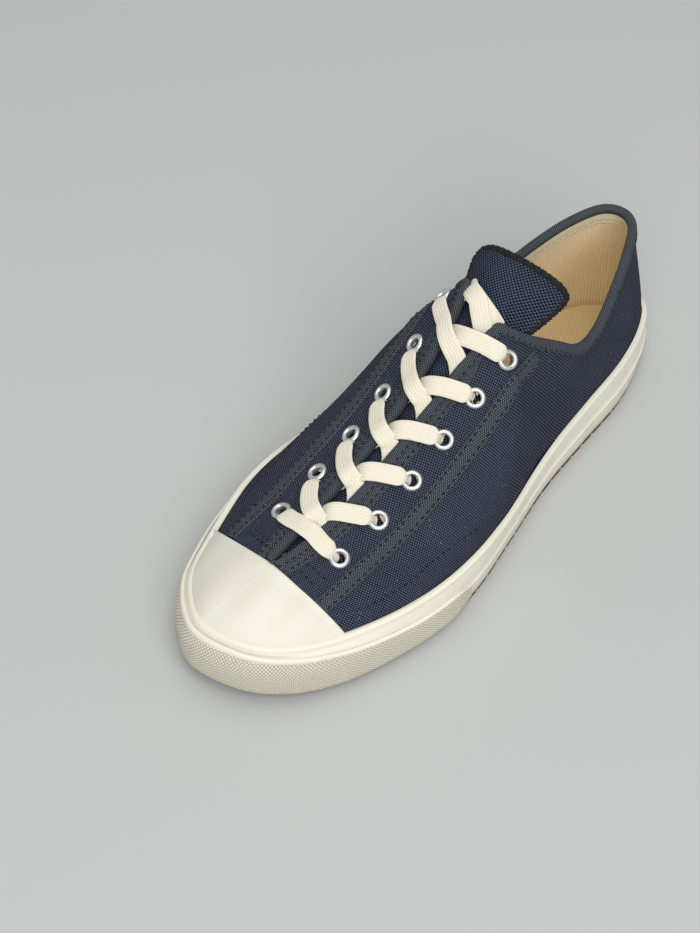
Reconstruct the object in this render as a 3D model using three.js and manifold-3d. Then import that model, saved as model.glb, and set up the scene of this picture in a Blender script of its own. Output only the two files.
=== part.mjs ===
// A low canvas sneaker for the left foot, in millimetres, standing on its sole.
// +Z is up, the toe points to -Y, and the outer (lateral) side of the foot is at +X.
// The origin is on the ground, under the middle of the shoe's length and width.
import * as THREE from "three";
import { mergeVertices } from "three/addons/utils/BufferGeometryUtils.js";
import Module from "manifold-3d";

const wasm = await Module();
wasm.setup();

// Overall sizes
const LENGTH = 293.5; // heel to toe, over the foxing and the toe bumper
const BALL_WIDTH = 110; // over the foxing at the ball of the foot
const INSTEP_HEIGHT = 102; // top line at the top of the throat
const HEEL_HEIGHT = 85; // top line at the back of the heel

// Sole
const PLATFORM = 12; // the sole's inner floor above the ground
const TREAD_LAYER = 3; // the part of the outsole that shows under the foxing
const TOE_SPRING = 8; // how far the tip of the sole lifts
const SPRING_START = 0.7; // where the sole leaves the ground, as a share of the length
const GROOVE_WIDTH = 2.4;
const GROOVE_DEPTH = 1.6;
const GROOVE_PITCH = 9;
const FOXING = 2.8; // rubber band round the shoe
const FOXING_LIFT = 0.4; // foxing's lower edge above the tread layer
const FOXING_LIP = 1.1; // thickness of its upper edge
const HEEL_BULGE = 0.6; // how far the heel's wall swells out past its outline
const BEAD_OUT = 0.9; // raised line along the foxing, down to nothing under the bumper
const BEAD_HEIGHT = 1.8;
const BUMPER = 2.2; // textured strip over the foxing at the toe
const BUMPER_SEATING = 0.4;
const BUMPER_THIN = 0.5; // its thickness at its two ends
const BUMPER_SWELL = [0.2, 0.45, 0.85, 1]; // shares of its thickness from top to bottom
const BUMPER_START = 0.575; // where its ends are, as a share of the way from heel to toe
const BUMPER_FADE = 0.06; // length of its tapered ends, as the same kind of share

// Upper and what is sewn to it
const UPPER_WALL = 1.9;
const TOE_CAP = 1.3;
const TOE_CAP_EDGE = 0.853; // its back edge, as a share of the length
const TOE_CAP_BOW = 6; // how far that edge's lateral end would lie behind its middle
const TOE_CAP_BOW_MEDIAL = 16;
const BINDING = 0.8; // thickness of the tape round the top line and throat
const BINDING_WIDTH = 4.6; // how far it reaches down outside
const BINDING_INSIDE = 2; // and inside
const TAPE = 0.7;
const TAPE_WIDTH = 7.5;
const TAPE_CLEAR = 0.7; // from its middle to where the toe cap cuts it off, as a share of its width
const BACKSTAY_WIDTH = 15;
const INSOLE = 4.5;
const TONGUE_WALL = 2;
const TONGUE_UNDER = 16; // how far its sides reach under the edges of the throat
const TONGUE_UNDER_TOP = 3; // the same at the top of the throat
const TONGUE_WIDENING = 120; // how fast that grows from there, for each share of the way round
const TONGUE_EDGE = 3.4; // width of the overlocked edge of the tongue
const TONGUE_EDGE_WALL = 2.8;

// Laces and eyelets
const EYELET_COUNT = 6;
const EYELET_START = 27; // first eyelet from the end of the throat, along its edge
const EYELET_PITCH = 22.8;
const EYELET_INSET = 15; // eyelet's centre from the edge of the throat
const EYELET_FLANGE_RADIUS = 4.7;
const EYELET_BORE_RADIUS = 2.4;
const EYELET_BARREL_RADIUS = 2.9;
const EYELET_FLANGE = 0.9;
const VENT_PLACES = [0.34, 0.44]; // as shares of the way from heel to toe
const VENT_ABOVE_FOXING = 9;
const LACE_WIDTH = 7.2;
const LACE = 1.3;
const LACE_CLEAR = 3.4; // between the end of a strap's middle line and the edge it tucks under
const LATERAL_START = 1; // how far past an eyelet the strap leaves the throat's lateral edge
const MEDIAL_START = 7;
const LACE_SAG = 4; // how far the middle of a strap slips towards the toe
const BAR_SAG = 5.5;
const LACE_PROUD = 1; // how far a strap passes over the eyelets
const LACE_UNDER = -1.2; // its middle line, down inside the throat
const STOPS_INSIDE = [0, 0.33, 0.67, 1]; // a strap's corners, on the way to the edge it crosses
const STOPS_OUTSIDE = [0.35, 0.7, 1]; // and on from there to its eyelet
const TOP_CROSSING = { from: -1, to: 8, over: 2.2, under: 1.4, deeper: 0.5 }; // beyond the top eyelets

const GAP = 0.3; // between pieces that touch on the real shoe
const SEATING = 0.35; // over a curved or faceted surface
const CAP_SEATING = 0.85;
const CAP_CLEAR = 0.012; // between the cap's back edge and the tapes behind it, as a share of the wall
const EYELET_SEATING = 0.6;

// The sole's outline, over the foxing. at is a share of the length from the heel,
// and lateral and medial are shares of the ball's width from the heel's axis.
const OUTLINE = [
  { at: 0.0, lateral: 0, medial: 0 },
  { at: 0.018, lateral: 0.142, medial: 0.113 },
  { at: 0.065, lateral: 0.225, medial: 0.213 },
  { at: 0.15, lateral: 0.291, medial: 0.284 },
  { at: 0.26, lateral: 0.317, medial: 0.301 },
  { at: 0.38, lateral: 0.348, medial: 0.323 },
  { at: 0.5, lateral: 0.413, medial: 0.402 },
  { at: 0.61, lateral: 0.468, medial: 0.501 },
  { at: 0.7, lateral: 0.473, medial: 0.531 },
  { at: 0.79, lateral: 0.425, medial: 0.492 },
  { at: 0.87, lateral: 0.354, medial: 0.423 },
  { at: 0.935, lateral: 0.253, medial: 0.34 },
  { at: 0.98, lateral: 0.115, medial: 0.218 },
  { at: 1.0, lateral: -0.104, medial: 0.104 },
];

// The middle line of the upper's top, as shares of the ball's width from the heel's axis.
const BEND = [
  { at: 0.0, side: 0 },
  { at: 0.25, side: 0.005 },
  { at: 0.5, side: 0 },
  { at: 0.8, side: -0.033 },
  { at: 1.0, side: -0.057 },
];

// The upper's walls, a row for each place on the way round from the heel (0) to the toe (1).
// at: the top edge, as a share of the length from the heel.
// side: the top edge from the middle line, as a share of the ball's width.
// height: the top edge, as a share of the instep's height.
// dip: how steeply the surface falls away from the top edge, in degrees.
// rise, swell: how high the wall stands up from the sole, and how far it bulges there,
// and crown: how far it carries on from the top edge, all as shares of the way between the edges.
const WALLS = [
  { round: 0.0, at: 0.04, side: 0, height: 0.833, dip: 80, rise: 0.34, swell: 0.05, crown: 0.34 },
  { round: 0.06, at: 0.057, side: 0.089, height: 0.829, dip: 81, rise: 0.34, swell: 0.05, crown: 0.34 },
  { round: 0.12, at: 0.108, side: 0.159, height: 0.802, dip: 82, rise: 0.34, swell: 0.045, crown: 0.34 },
  { round: 0.19, at: 0.176, side: 0.223, height: 0.738, dip: 84, rise: 0.34, swell: 0.04, crown: 0.34 },
  { round: 0.26, at: 0.238, side: 0.265, height: 0.672, dip: 84, rise: 0.34, swell: 0.04, crown: 0.34 },
  { round: 0.33, at: 0.289, side: 0.277, height: 0.69, dip: 82, rise: 0.34, swell: 0.05, crown: 0.34 },
  { round: 0.39, at: 0.328, side: 0.251, height: 0.776, dip: 75, rise: 0.34, swell: 0.07, crown: 0.34 },
  { round: 0.435, at: 0.365, side: 0.201, height: 0.87, dip: 66, rise: 0.35, swell: 0.08, crown: 0.34 },
  { round: 0.47, at: 0.389, side: 0.147, height: 0.955, dip: 55, rise: 0.36, swell: 0.09, crown: 0.34 },
  { round: 0.5, at: 0.406, side: 0.1, height: 1.0, dip: 44, rise: 0.37, swell: 0.09, crown: 0.35 },
  { round: 0.535, at: 0.457, side: 0.072, height: 0.9, dip: 36, rise: 0.38, swell: 0.08, crown: 0.36 },
  { round: 0.6, at: 0.56, side: 0.053, height: 0.7, dip: 32, rise: 0.4, swell: 0.07, crown: 0.38 },
  { round: 0.66, at: 0.655, side: 0.047, height: 0.56, dip: 27, rise: 0.4, swell: 0.06, crown: 0.4 },
  { round: 0.72, at: 0.733, side: 0.043, height: 0.475, dip: 21, rise: 0.4, swell: 0.05, crown: 0.42 },
  { round: 0.78, at: 0.779, side: 0.034, height: 0.447, dip: 16, rise: 0.34, swell: 0.03, crown: 0.44 },
  { round: 0.84, at: 0.812, side: 0.026, height: 0.436, dip: 14, rise: 0.31, swell: 0.02, crown: 0.45 },
  { round: 0.9, at: 0.836, side: 0.018, height: 0.43, dip: 14, rise: 0.31, swell: 0.01, crown: 0.46 },
  { round: 0.96, at: 0.849, side: 0.009, height: 0.426, dip: 15, rise: 0.31, swell: 0.01, crown: 0.47 },
  { round: 1.0, at: 0.851, side: 0, height: 0.424, dip: 16, rise: 0.31, swell: 0.01, crown: 0.48 },
];

// Heights of the foxing's upper edge and of the raised line on it, above the sole's underside,
// and the height of the bumper's upper edge.
const FOXING_HEIGHTS = [
  { round: 0.0, top: 31.5, bead: 17, bumper: 20 },
  { round: 0.15, top: 30.5, bead: 15, bumper: 20 },
  { round: 0.35, top: 28.6, bead: 13, bumper: 20 },
  { round: 0.55, top: 28.2, bead: 12.5, bumper: 17 },
  { round: 0.72, top: 26, bead: 13, bumper: 18 },
  { round: 0.86, top: 23.9, bead: 14, bumper: 19.2 },
  { round: 1.0, top: 23.3, bead: 15, bumper: 19.7 },
];

// The tongue's free end, from the top of the throat: beyond is the way along it from there,
// half is half its width, and lift is how far it bends up from the line of the throat.
const TONGUE_END = [
  { beyond: 4, half: 11, lift: -2.2 },
  { beyond: 8, half: 16, lift: -2.3 },
  { beyond: 12, half: 20, lift: -2.4 },
  { beyond: 17, half: 22.5, lift: -2.7 },
  { beyond: 21.5, half: 22.5, lift: -3 },
  { beyond: 25, half: 19.5, lift: -3.2 },
  { beyond: 26.8, half: 13.5, lift: -3.4 },
  { beyond: 27.5, half: 7, lift: -3.5 },
  { beyond: 27.7, half: 0, lift: -3.5 },
];

// Where the seam tapes run, as shares: round the foot from heel to toe, and up the wall.
const TAPE_PATH = [
  { round: 0.452, up: 0.845 },
  { round: 0.48, up: 0.78 },
  { round: 0.511, up: 0.73 },
  { round: 0.545, up: 0.699 },
  { round: 0.592, up: 0.677 },
  { round: 0.66, up: 0.654 },
  { round: 0.74, up: 0.632 },
  { round: 0.795, up: 0.578 },
];

const LATERAL = 1;
const MEDIAL = -1;

const CORNER_FORWARD = 3; // how far forward the throat's lateral corner is, and the medial one back
const CORNER_DROP = 3.5; // and how far down, and the medial one up
const CORNER_REACH = 0.065; // how far round from the corner that fades away
const THROAT_TOP = 0.5; // its top corners, as a share of the way from heel to toe
const TONGUE_ROOT = 0.86; // where the tongue is sewn in, as the same kind of share
const TONGUE_END_TILT = 0.08; // how much the tip leans down to the lateral side, per millimetre
const TONGUE_END_ARCH = 0.024; // how much the tongue's tip is arched across, per millimetre

const COLUMNS = 30; // places on each side where the upper and sole are worked out
const END_CROWDING = 0.04; // how much closer together they are at heel and toe
const CORNER_CROWDING = 0.015; // and at the top corners of the throat
const UPPER_ROWS = [0, 0.16, 0.32, 0.47, 0.61, 0.74, 0.86, 0.945, 1]; // shares of the way up the wall

const lerp = THREE.MathUtils.lerp;
const clamp = THREE.MathUtils.clamp;
const smoothstep = THREE.MathUtils.smoothstep;

// One column of a table as a smooth function of another.
function curve(rows, key, name) {
  const x = rows.map((row) => row[key]);
  const y = rows.map((row) => row[name]);
  const slope = x.slice(1).map((next, i) => (y[i + 1] - y[i]) / (next - x[i]));
  const tangent = x.map((here, i) => {
    if (i === 0 || i === x.length - 1) return slope[Math.min(i, slope.length - 1)];
    const before = here - x[i - 1];
    const after = x[i + 1] - here;
    return (slope[i - 1] * after + slope[i] * before) / (before + after);
  });
  return (place) => {
    let i = 0;
    while (i < x.length - 2 && place > x[i + 1]) i += 1;
    const width = x[i + 1] - x[i];
    const t = (place - x[i]) / width;
    const s = 1 - t;
    return (
      y[i] * s * s * (1 + 2 * t) +
      y[i + 1] * t * t * (3 - 2 * t) +
      width * (tangent[i] * s * s * t - tangent[i + 1] * t * t * s)
    );
  };
}

// The same table carried on past heel and toe as the other side's, so that the sides meet smoothly.
function bothSides(rows, odd = []) {
  const other = (row, end) => {
    const turned = { ...row, round: 2 * end - row.round };
    for (const name of odd) turned[name] = -row[name];
    return turned;
  };
  const last = rows.length - 1;
  const heel = [other(rows[2], 0), other(rows[1], 0)];
  return [...heel, ...rows, other(rows[last - 1], 1), other(rows[last - 2], 1)];
}

function columnsOf(rows, key, names) {
  return Object.fromEntries(names.map((name) => [name, curve(rows, key, name)]));
}

const wallAt = columnsOf(
  bothSides(WALLS, ["side"]),
  "round",
  ["at", "side", "height", "dip", "rise", "swell", "crown"],
);
const foxingAt = columnsOf(bothSides(FOXING_HEIGHTS), "round", ["top", "bead", "bumper"]);
const bendAt = curve(BEND, "at", "side");

const HEEL = LENGTH / 2 - BEAD_OUT - HEEL_BULGE; // where the outline starts
const RUN = HEEL + LENGTH / 2 - BUMPER; // from the heel to the toe of the outline
const lengthwise = (at) => HEEL - at * RUN;
const shareOf = (y) => (HEEL - y) / RUN;

// The outline as a closed curve, and the distance along it from the heel on each side.
const SIDE_STEPS = 200;
const outline = (() => {
  const ring = [
    ...OUTLINE.map((row) => [row.lateral, row.at]),
    ...OUTLINE.slice(1, -1).reverse().map((row) => [-row.medial, row.at]),
  ];
  const points = ring.map(([side, at]) => new THREE.Vector3(side * BALL_WIDTH, lengthwise(at), 0));
  const closed = new THREE.CatmullRomCurve3(points, true, "centripetal");
  const toe = (OUTLINE.length - 1) / ring.length;
  const walk = (from, to) => {
    const along = [];
    let length = 0;
    for (let i = 0; i <= SIDE_STEPS; i += 1) {
      const point = closed.getPoint(lerp(from, to, i / SIDE_STEPS) % 1);
      if (i) length += point.distanceTo(along[i - 1].point);
      along.push({ point, length });
    }
    return along;
  };
  return { [LATERAL]: walk(0, toe), [MEDIAL]: walk(1, toe) };
})();
const xs = [...outline[LATERAL], ...outline[MEDIAL]].map(({ point }) => point.x);
const HEEL_AXIS = -(Math.min(...xs) + Math.max(...xs)) / 2; // sideways, from the origin

// A point of the outline, a share of the way round from heel to toe on one side.
function outlinePoint(side, round) {
  const samples = outline[side];
  const goal = Math.abs(round) * samples[SIDE_STEPS].length;
  let i = 1;
  while (i < SIDE_STEPS && samples[i].length < goal) i += 1;
  const [a, b] = [samples[i - 1], samples[i]];
  const t = (goal - a.length) / (b.length - a.length);
  return new THREE.Vector3().lerpVectors(a.point, b.point, t).add(new THREE.Vector3(HEEL_AXIS, 0, 0));
}

// The direction straight out of the outline.
function outward(side, round) {
  const step = 0.012;
  const around = (r) => {
    if (r < 0) return outlinePoint(-side, -r);
    return r > 1 ? outlinePoint(-side, 2 - r) : outlinePoint(side, r);
  };
  const run = around(round + step).sub(around(round - step));
  return new THREE.Vector3(-run.y, run.x, 0).multiplyScalar(side).normalize();
}

// How far the sole's underside is above the ground, at a lengthwise place.
function spring(y) {
  const past = Math.max(0, (shareOf(y) - SPRING_START) / (1 - SPRING_START));
  return TOE_SPRING * past * past;
}

// Where the wall starts on the sole, inside the foxing.
function footOf(side, round, inset = FOXING + GAP) {
  const foot = outlinePoint(side, round).addScaledVector(outward(side, round), -inset);
  return foot.setZ(PLATFORM + GAP + spring(foot.y));
}

function topEdge(side, round) {
  const at = wallAt.at(round);
  const corner = side * Math.exp(-(((round - THROAT_TOP) / CORNER_REACH) ** 2));
  const lift = lerp(1, HEEL_HEIGHT / (INSTEP_HEIGHT * WALLS[0].height), heelness(round));
  return new THREE.Vector3(
    HEEL_AXIS + (bendAt(at) + side * wallAt.side(round)) * BALL_WIDTH,
    lengthwise(at) - corner * CORNER_FORWARD,
    wallAt.height(round) * INSTEP_HEIGHT * lift - corner * CORNER_DROP,
  );
}

// 1 at the back of the heel and 0 from the ankle on, to raise or lower the heel alone.
function heelness(round) {
  return 1 - smoothstep(Math.abs(round), 0, 0.3);
}

const UP = new THREE.Vector3(0, 0, 1);

// The upper's outer surface: up goes from the sole (0) to the top edge (1).
function skin(side, round, up) {
  const foot = footOf(side, round);
  const top = topEdge(side, round);
  const way = foot.distanceTo(top);
  const level = new THREE.Vector3(foot.x - top.x, foot.y - top.y, 0);
  const out = outward(side, round);
  const dip = THREE.MathUtils.degToRad(wallAt.dip(round));
  const away = level.normalize().lerp(out, 0.5).normalize();
  const low = foot.clone().addScaledVector(UP, wallAt.rise(round) * way);
  low.addScaledVector(out, wallAt.swell(round) * way);
  const high = top.clone().addScaledVector(away, Math.cos(dip) * wallAt.crown(round) * way);
  high.addScaledVector(UP, -Math.sin(dip) * wallAt.crown(round) * way);
  const down = 1 - up;
  return new THREE.Vector3()
    .addScaledVector(foot, down * down * down)
    .addScaledVector(low, 3 * down * down * up)
    .addScaledVector(high, 3 * down * up * up)
    .addScaledVector(top, up * up * up);
}

function skinNormal(side, round, up) {
  const step = 0.01;
  const across = (r) => {
    if (r < 0) return skin(-side, -r, up);
    return r > 1 ? skin(-side, 2 - r, up) : skin(side, r, up);
  };
  const lift = Math.min(up, 1 - step);
  const around = across(round + step).sub(across(round - step));
  const climb = skin(side, round, lift + step).sub(skin(side, round, lift));
  return around.cross(climb).multiplyScalar(-side).normalize();
}

// A point off the skin: out is how far outside it, negative inside.
function offSkin(side, round, up, out) {
  return skin(side, round, up).addScaledVector(skinNormal(side, round, up), out);
}

// How far up the wall the skin reaches a height, or a distance from the top edge.
function upToHeight(side, round, z) {
  let [low, high] = [0, 1];
  for (let i = 0; i < 24; i += 1) {
    const middle = (low + high) / 2;
    if (skin(side, round, middle).z < z) low = middle;
    else high = middle;
  }
  return low;
}

function upToEdge(side, round, distance) {
  const step = 0.004;
  let up = 1;
  let passed = 0;
  let last = skin(side, round, 1);
  while (passed < distance && up > step) {
    up -= step;
    const next = skin(side, round, up);
    passed += next.distanceTo(last);
    last = next;
  }
  return up;
}

// The places round one side where pieces that wrap the shoe have their corners.
function placeOf(i, count = COLUMNS) {
  const t = i / count;
  const ends = END_CROWDING * Math.sin(2 * Math.PI * t);
  return t - ends - CORNER_CROWDING * Math.sin(4 * Math.PI * t);
}

// All the way round: heel, lateral side, toe, medial side.
const LOOP = [
  ...Array.from({ length: COLUMNS }, (_, i) => ({ side: LATERAL, round: placeOf(i) })),
  ...Array.from({ length: COLUMNS }, (_, i) => ({ side: MEDIAL, round: placeOf(COLUMNS - i) })),
];

// From one end of a stretch over the toe to the other.
const overToe = (start) => LOOP.filter(({ round }) => round >= start);

// A closed shell between two sheets of points with as many rows and columns.
function shell(outer, inner, closed = false) {
  const rows = outer.length;
  const across = outer[0].length;
  const points = [];
  for (const sheet of [outer, inner]) for (const row of sheet) points.push(...row);
  const at = (sheet, i, j) => (sheet * rows + (i % rows)) * across + j;
  const faces = [];
  const quad = (a, b, c, d) => faces.push([a, b, c], [a, c, d]);
  for (let i = 0; i < (closed ? rows : rows - 1); i += 1) {
    for (let j = 0; j < across - 1; j += 1) {
      quad(at(0, i, j), at(0, i + 1, j), at(0, i + 1, j + 1), at(0, i, j + 1));
      quad(at(1, i, j), at(1, i, j + 1), at(1, i + 1, j + 1), at(1, i + 1, j));
    }
    quad(at(0, i, 0), at(1, i, 0), at(1, i + 1, 0), at(0, i + 1, 0));
    const last = across - 1;
    quad(at(0, i, last), at(0, i + 1, last), at(1, i + 1, last), at(1, i, last));
  }
  if (!closed) {
    for (let j = 0; j < across - 1; j += 1) {
      quad(at(0, 0, j), at(0, 0, j + 1), at(1, 0, j + 1), at(1, 0, j));
      const end = rows - 1;
      quad(at(0, end, j), at(1, end, j), at(1, end, j + 1), at(0, end, j + 1));
    }
  }
  return solidOf(points, faces);
}

// A manifold solid from points and faces, facing outwards.
function solidOf(points, faces) {
  const soup = new THREE.BufferGeometry().setFromPoints(points).setIndex(faces.flat());
  const merged = mergeVertices(soup, 1e-3);
  const index = merged.index.array;
  const kept = [];
  for (let i = 0; i < index.length; i += 3) {
    const [a, b, c] = [index[i], index[i + 1], index[i + 2]];
    if (a !== b && b !== c && c !== a) kept.push(a, b, c);
  }
  const make = (triVerts) =>
    new wasm.Manifold(
      new wasm.Mesh({
        numProp: 3,
        vertProperties: merged.attributes.position.array,
        triVerts: new Uint32Array(triVerts),
      }),
    );
  const made = make(kept);
  return made.volume() > 0 ? made : make(kept.reverse());
}

function solidFrom(geometry) {
  const flat = geometry.index ? geometry.toNonIndexed() : geometry;
  const at = flat.attributes.position;
  const points = Array.from({ length: at.count }, (_, i) => new THREE.Vector3().fromBufferAttribute(at, i));
  const faces = Array.from({ length: at.count / 3 }, (_, i) => [3 * i, 3 * i + 1, 3 * i + 2]);
  return solidOf(points, faces);
}

function geometryOf(solid) {
  const { vertProperties, triVerts } = solid.getMesh();
  const geometry = new THREE.BufferGeometry();
  geometry.setAttribute("position", new THREE.BufferAttribute(vertProperties, 3));
  geometry.setIndex(new THREE.BufferAttribute(triVerts, 1));
  geometry.computeVertexNormals();
  return geometry;
}

// The sole's flat pieces: a slab between two heights, inside an inset outline, its edges
// leaning in towards the top, and with its cross rows at shares of the width.
function slab({ inset, lean = 0, bottom, top, shares }) {
  const sheet = (height, margin) =>
    Array.from({ length: COLUMNS + 1 }, (_, i) => {
      const [outer, inner] = [LATERAL, MEDIAL].map((side) => footOf(side, placeOf(i), margin));
      return shares.map((share) => {
        const point = new THREE.Vector3().lerpVectors(inner, outer, share);
        return point.setZ(height(2 * Math.abs(share - 0.5)) + spring(point.y));
      });
    });
  return shell(sheet(top, inset + lean), sheet(bottom, inset));
}

function outsole() {
  const shares = [0, 0.5, 1];
  const layer = slab({ inset: 0.5, bottom: () => 0, top: () => TREAD_LAYER, shares });
  const core = slab({
    inset: FOXING + GAP,
    bottom: () => TREAD_LAYER / 2,
    top: () => PLATFORM,
    shares,
  });
  let sole = layer.add(core);
  const count = Math.floor(RUN / GROOVE_PITCH) - 2;
  for (let i = 1; i <= count; i += 1) {
    const y = HEEL - (i + 0.5) * GROOVE_PITCH;
    const groove = new THREE.BoxGeometry(2 * BALL_WIDTH, GROOVE_WIDTH, 2 * GROOVE_DEPTH);
    groove.translate(0, y, spring(y));
    sole = sole.subtract(solidFrom(groove));
  }
  return sole;
}

// 0 where the foxing is bare and 1 where the bumper is at its full thickness.
function bumperShare(round) {
  return smoothstep(round, BUMPER_START, BUMPER_START + BUMPER_FADE);
}

// The band round the shoe, closed on itself: each column's outside and inside run down it.
function foxing() {
  const outer = [];
  const inner = [];
  for (const { side, round } of LOOP) {
    const foot = footOf(side, round);
    const out = outward(side, round);
    const under = spring(outlinePoint(side, round).y);
    const top = under + foxingAt.top(round);
    const bead = under + foxingAt.bead(round);
    const beadOut = BEAD_OUT * (1 - bumperShare(round));
    const bottom = under + TREAD_LAYER + FOXING_LIFT;
    const off = (height, away) => {
      const z = Math.max(height, foot.z);
      const point = offSkin(side, round, upToHeight(side, round, z), away);
      return point.add(new THREE.Vector3(0, 0, height - z));
    };
    const face = GAP + FOXING;
    outer.push([
      off(top, GAP + FOXING_LIP),
      off(top - 1.4, lerp(GAP + FOXING_LIP, face, 0.7)),
      off(bead + BEAD_HEIGHT, face),
      off(bead + 0.65 * BEAD_HEIGHT, face + beadOut),
      off(bead + 0.35 * BEAD_HEIGHT, face + beadOut),
      off(bead, face),
      foot.clone().addScaledVector(out, face).setZ(bottom),
    ]);
    const rise = top - foot.z;
    inner.push([
      off(top, SEATING),
      off(top - 0.1 * rise, SEATING),
      off(top - 0.4 * rise, SEATING),
      off(top - 0.7 * rise, SEATING),
      off(top - 0.9 * rise, SEATING),
      off(foot.z, SEATING),
      foot.clone().addScaledVector(out, GAP).setZ(bottom),
    ]);
  }
  return shell(outer, inner, true);
}

// The textured strip over the foxing at the toe, its ends worn down to nothing.
function toeBumper() {
  const outer = [];
  const inner = [];
  for (const { side, round } of overToe(BUMPER_START + BUMPER_FADE / 2)) {
    const foot = footOf(side, round);
    const under = spring(outlinePoint(side, round).y);
    const fade = bumperShare(round);
    const bottom = under + TREAD_LAYER + FOXING_LIFT;
    const top = under + lerp(foxingAt.bead(round), foxingAt.bumper(round), fade);
    const base = GAP + FOXING + BUMPER_SEATING;
    const thick = lerp(BUMPER_THIN, BUMPER - SEATING, fade);
    const off = (height, away) => {
      const z = Math.max(height, foot.z);
      const point = offSkin(side, round, upToHeight(side, round, z), away);
      return point.add(new THREE.Vector3(0, 0, height - z));
    };
    const bead = under + foxingAt.bead(round);
    const heights = [top, Math.min(bead + BEAD_HEIGHT, top - 0.6), bead, bottom];
    outer.push(heights.map((height, j) => off(height, base + BUMPER_SWELL[j] * thick)));
    inner.push(heights.map((height) => off(height, base)));
  }
  return shell(outer, inner);
}

// The board that the foot rests on, dished a little towards its edges.
function insole() {
  return slab({
    inset: FOXING + GAP + UPPER_WALL + 2 * GAP,
    lean: 1.4,
    bottom: () => PLATFORM + GAP,
    top: (aside) => PLATFORM + GAP + INSOLE + aside ** 4,
    shares: [0, 0.2, 0.5, 0.8, 1],
  });
}

// The toe cap's back edge: how far up the wall it lies at each place round the toe.
function capEdge(side, round) {
  const edgeY = (x) => {
    const aside = (x - HEEL_AXIS - bendAt(TOE_CAP_EDGE) * BALL_WIDTH) / (BALL_WIDTH / 2);
    const bow = aside < 0 ? TOE_CAP_BOW_MEDIAL : TOE_CAP_BOW;
    return lengthwise(TOE_CAP_EDGE) + bow * Math.abs(aside) ** 3;
  };
  const behind = (up) => {
    const point = skin(side, round, up);
    return point.y > edgeY(point.x);
  };
  let [low, high] = [0, 1];
  if (behind(0)) return 0;
  for (let i = 0; i < 24; i += 1) {
    const middle = (low + high) / 2;
    if (behind(middle)) high = middle;
    else low = middle;
  }
  return low;
}

// How far up the wall the foxing's upper edge comes, with a margin.
function overFoxing(side, round, margin) {
  const height = foxingAt.top(round) + spring(outlinePoint(side, round).y) + margin;
  return upToHeight(side, round, height);
}

// The place on one side where the toe cap's back edge comes down to the foxing.
function capCorner(side) {
  let [low, high] = [0.6, 0.95];
  for (let i = 0; i < 24; i += 1) {
    const round = (low + high) / 2;
    if (capEdge(side, round) > overFoxing(side, round, 1.5)) high = round;
    else low = round;
  }
  return { side, round: high };
}

function toeCap() {
  const corners = [capCorner(LATERAL), capCorner(MEDIAL)];
  const between = overToe(0).filter(({ side, round }) => {
    const corner = corners.find((place) => place.side === side);
    return round > corner.round + 0.004;
  });
  const places = [corners[0], ...between, corners[1]];
  const sheet = (away) =>
    places.map(({ side, round }) => {
      const start = overFoxing(side, round, 1);
      const edge = capEdge(side, round) - CAP_CLEAR;
      const rows = [start, ...UPPER_ROWS, edge].map((up) => clamp(up, start, edge)).sort((a, b) => a - b);
      return rows.map((up) => offSkin(side, round, up, away));
    });
  return shell(sheet(CAP_SEATING + TOE_CAP), sheet(CAP_SEATING));
}

// How far up the throat's edge from its toe end each place is.
const throatWalk = (() => {
  const steps = 260;
  const walk = [{ round: 1, along: 0 }];
  let last = topEdge(LATERAL, 1);
  for (let i = 1; i <= steps; i += 1) {
    const round = lerp(1, THROAT_TOP, i / steps);
    const next = topEdge(LATERAL, round);
    walk.push({ round, along: walk[i - 1].along + next.distanceTo(last) });
    last = next;
  }
  return walk;
})();

function throatRound(along) {
  const i = clamp(throatWalk.findIndex((step) => step.along >= along), 1, throatWalk.length - 1);
  const [a, b] = along > throatWalk.at(-1).along ? throatWalk.slice(-2) : throatWalk.slice(i - 1, i + 1);
  const t = Math.min((along - a.along) / (b.along - a.along), 1);
  return lerp(a.round, b.round, t);
}

function eyeletPlaces(side) {
  return Array.from({ length: EYELET_COUNT }, (_, i) => {
    const round = throatRound(EYELET_START + i * EYELET_PITCH);
    return { side, round, up: upToEdge(side, round, EYELET_INSET) };
  });
}

const laceEyelets = { [LATERAL]: eyeletPlaces(LATERAL), [MEDIAL]: eyeletPlaces(MEDIAL) };
const vents = VENT_PLACES.map((round) => {
  const height = foxingAt.top(round) + VENT_ABOVE_FOXING;
  return { side: MEDIAL, round, up: upToHeight(MEDIAL, round, height) };
});

function turnedTo(place) {
  const normal = skinNormal(place.side, place.round, place.up);
  return new THREE.Quaternion().setFromUnitVectors(new THREE.Vector3(0, 1, 0), normal);
}

const EYELET_SIDES = 8;

function eyeletGeometry() {
  const bottom = -UPPER_WALL - 0.6;
  const profile = [
    [EYELET_BORE_RADIUS, bottom],
    [EYELET_BARREL_RADIUS, bottom],
    [EYELET_BARREL_RADIUS, EYELET_SEATING],
    [EYELET_FLANGE_RADIUS, EYELET_SEATING],
    [EYELET_FLANGE_RADIUS - 0.5, EYELET_SEATING + EYELET_FLANGE],
    [EYELET_BORE_RADIUS + 0.4, EYELET_SEATING + EYELET_FLANGE],
    [EYELET_BORE_RADIUS, bottom],
  ];
  const points = profile.map(([r, h]) => new THREE.Vector2(r, h));
  return new THREE.LatheGeometry(points, EYELET_SIDES);
}

function drill(solid, place, radius) {
  const depth = 8;
  const pin = new THREE.CylinderGeometry(radius, radius, depth, EYELET_SIDES);
  pin.applyQuaternion(turnedTo(place));
  pin.translate(...skin(place.side, place.round, place.up));
  return solid.subtract(solidFrom(pin));
}

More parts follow.
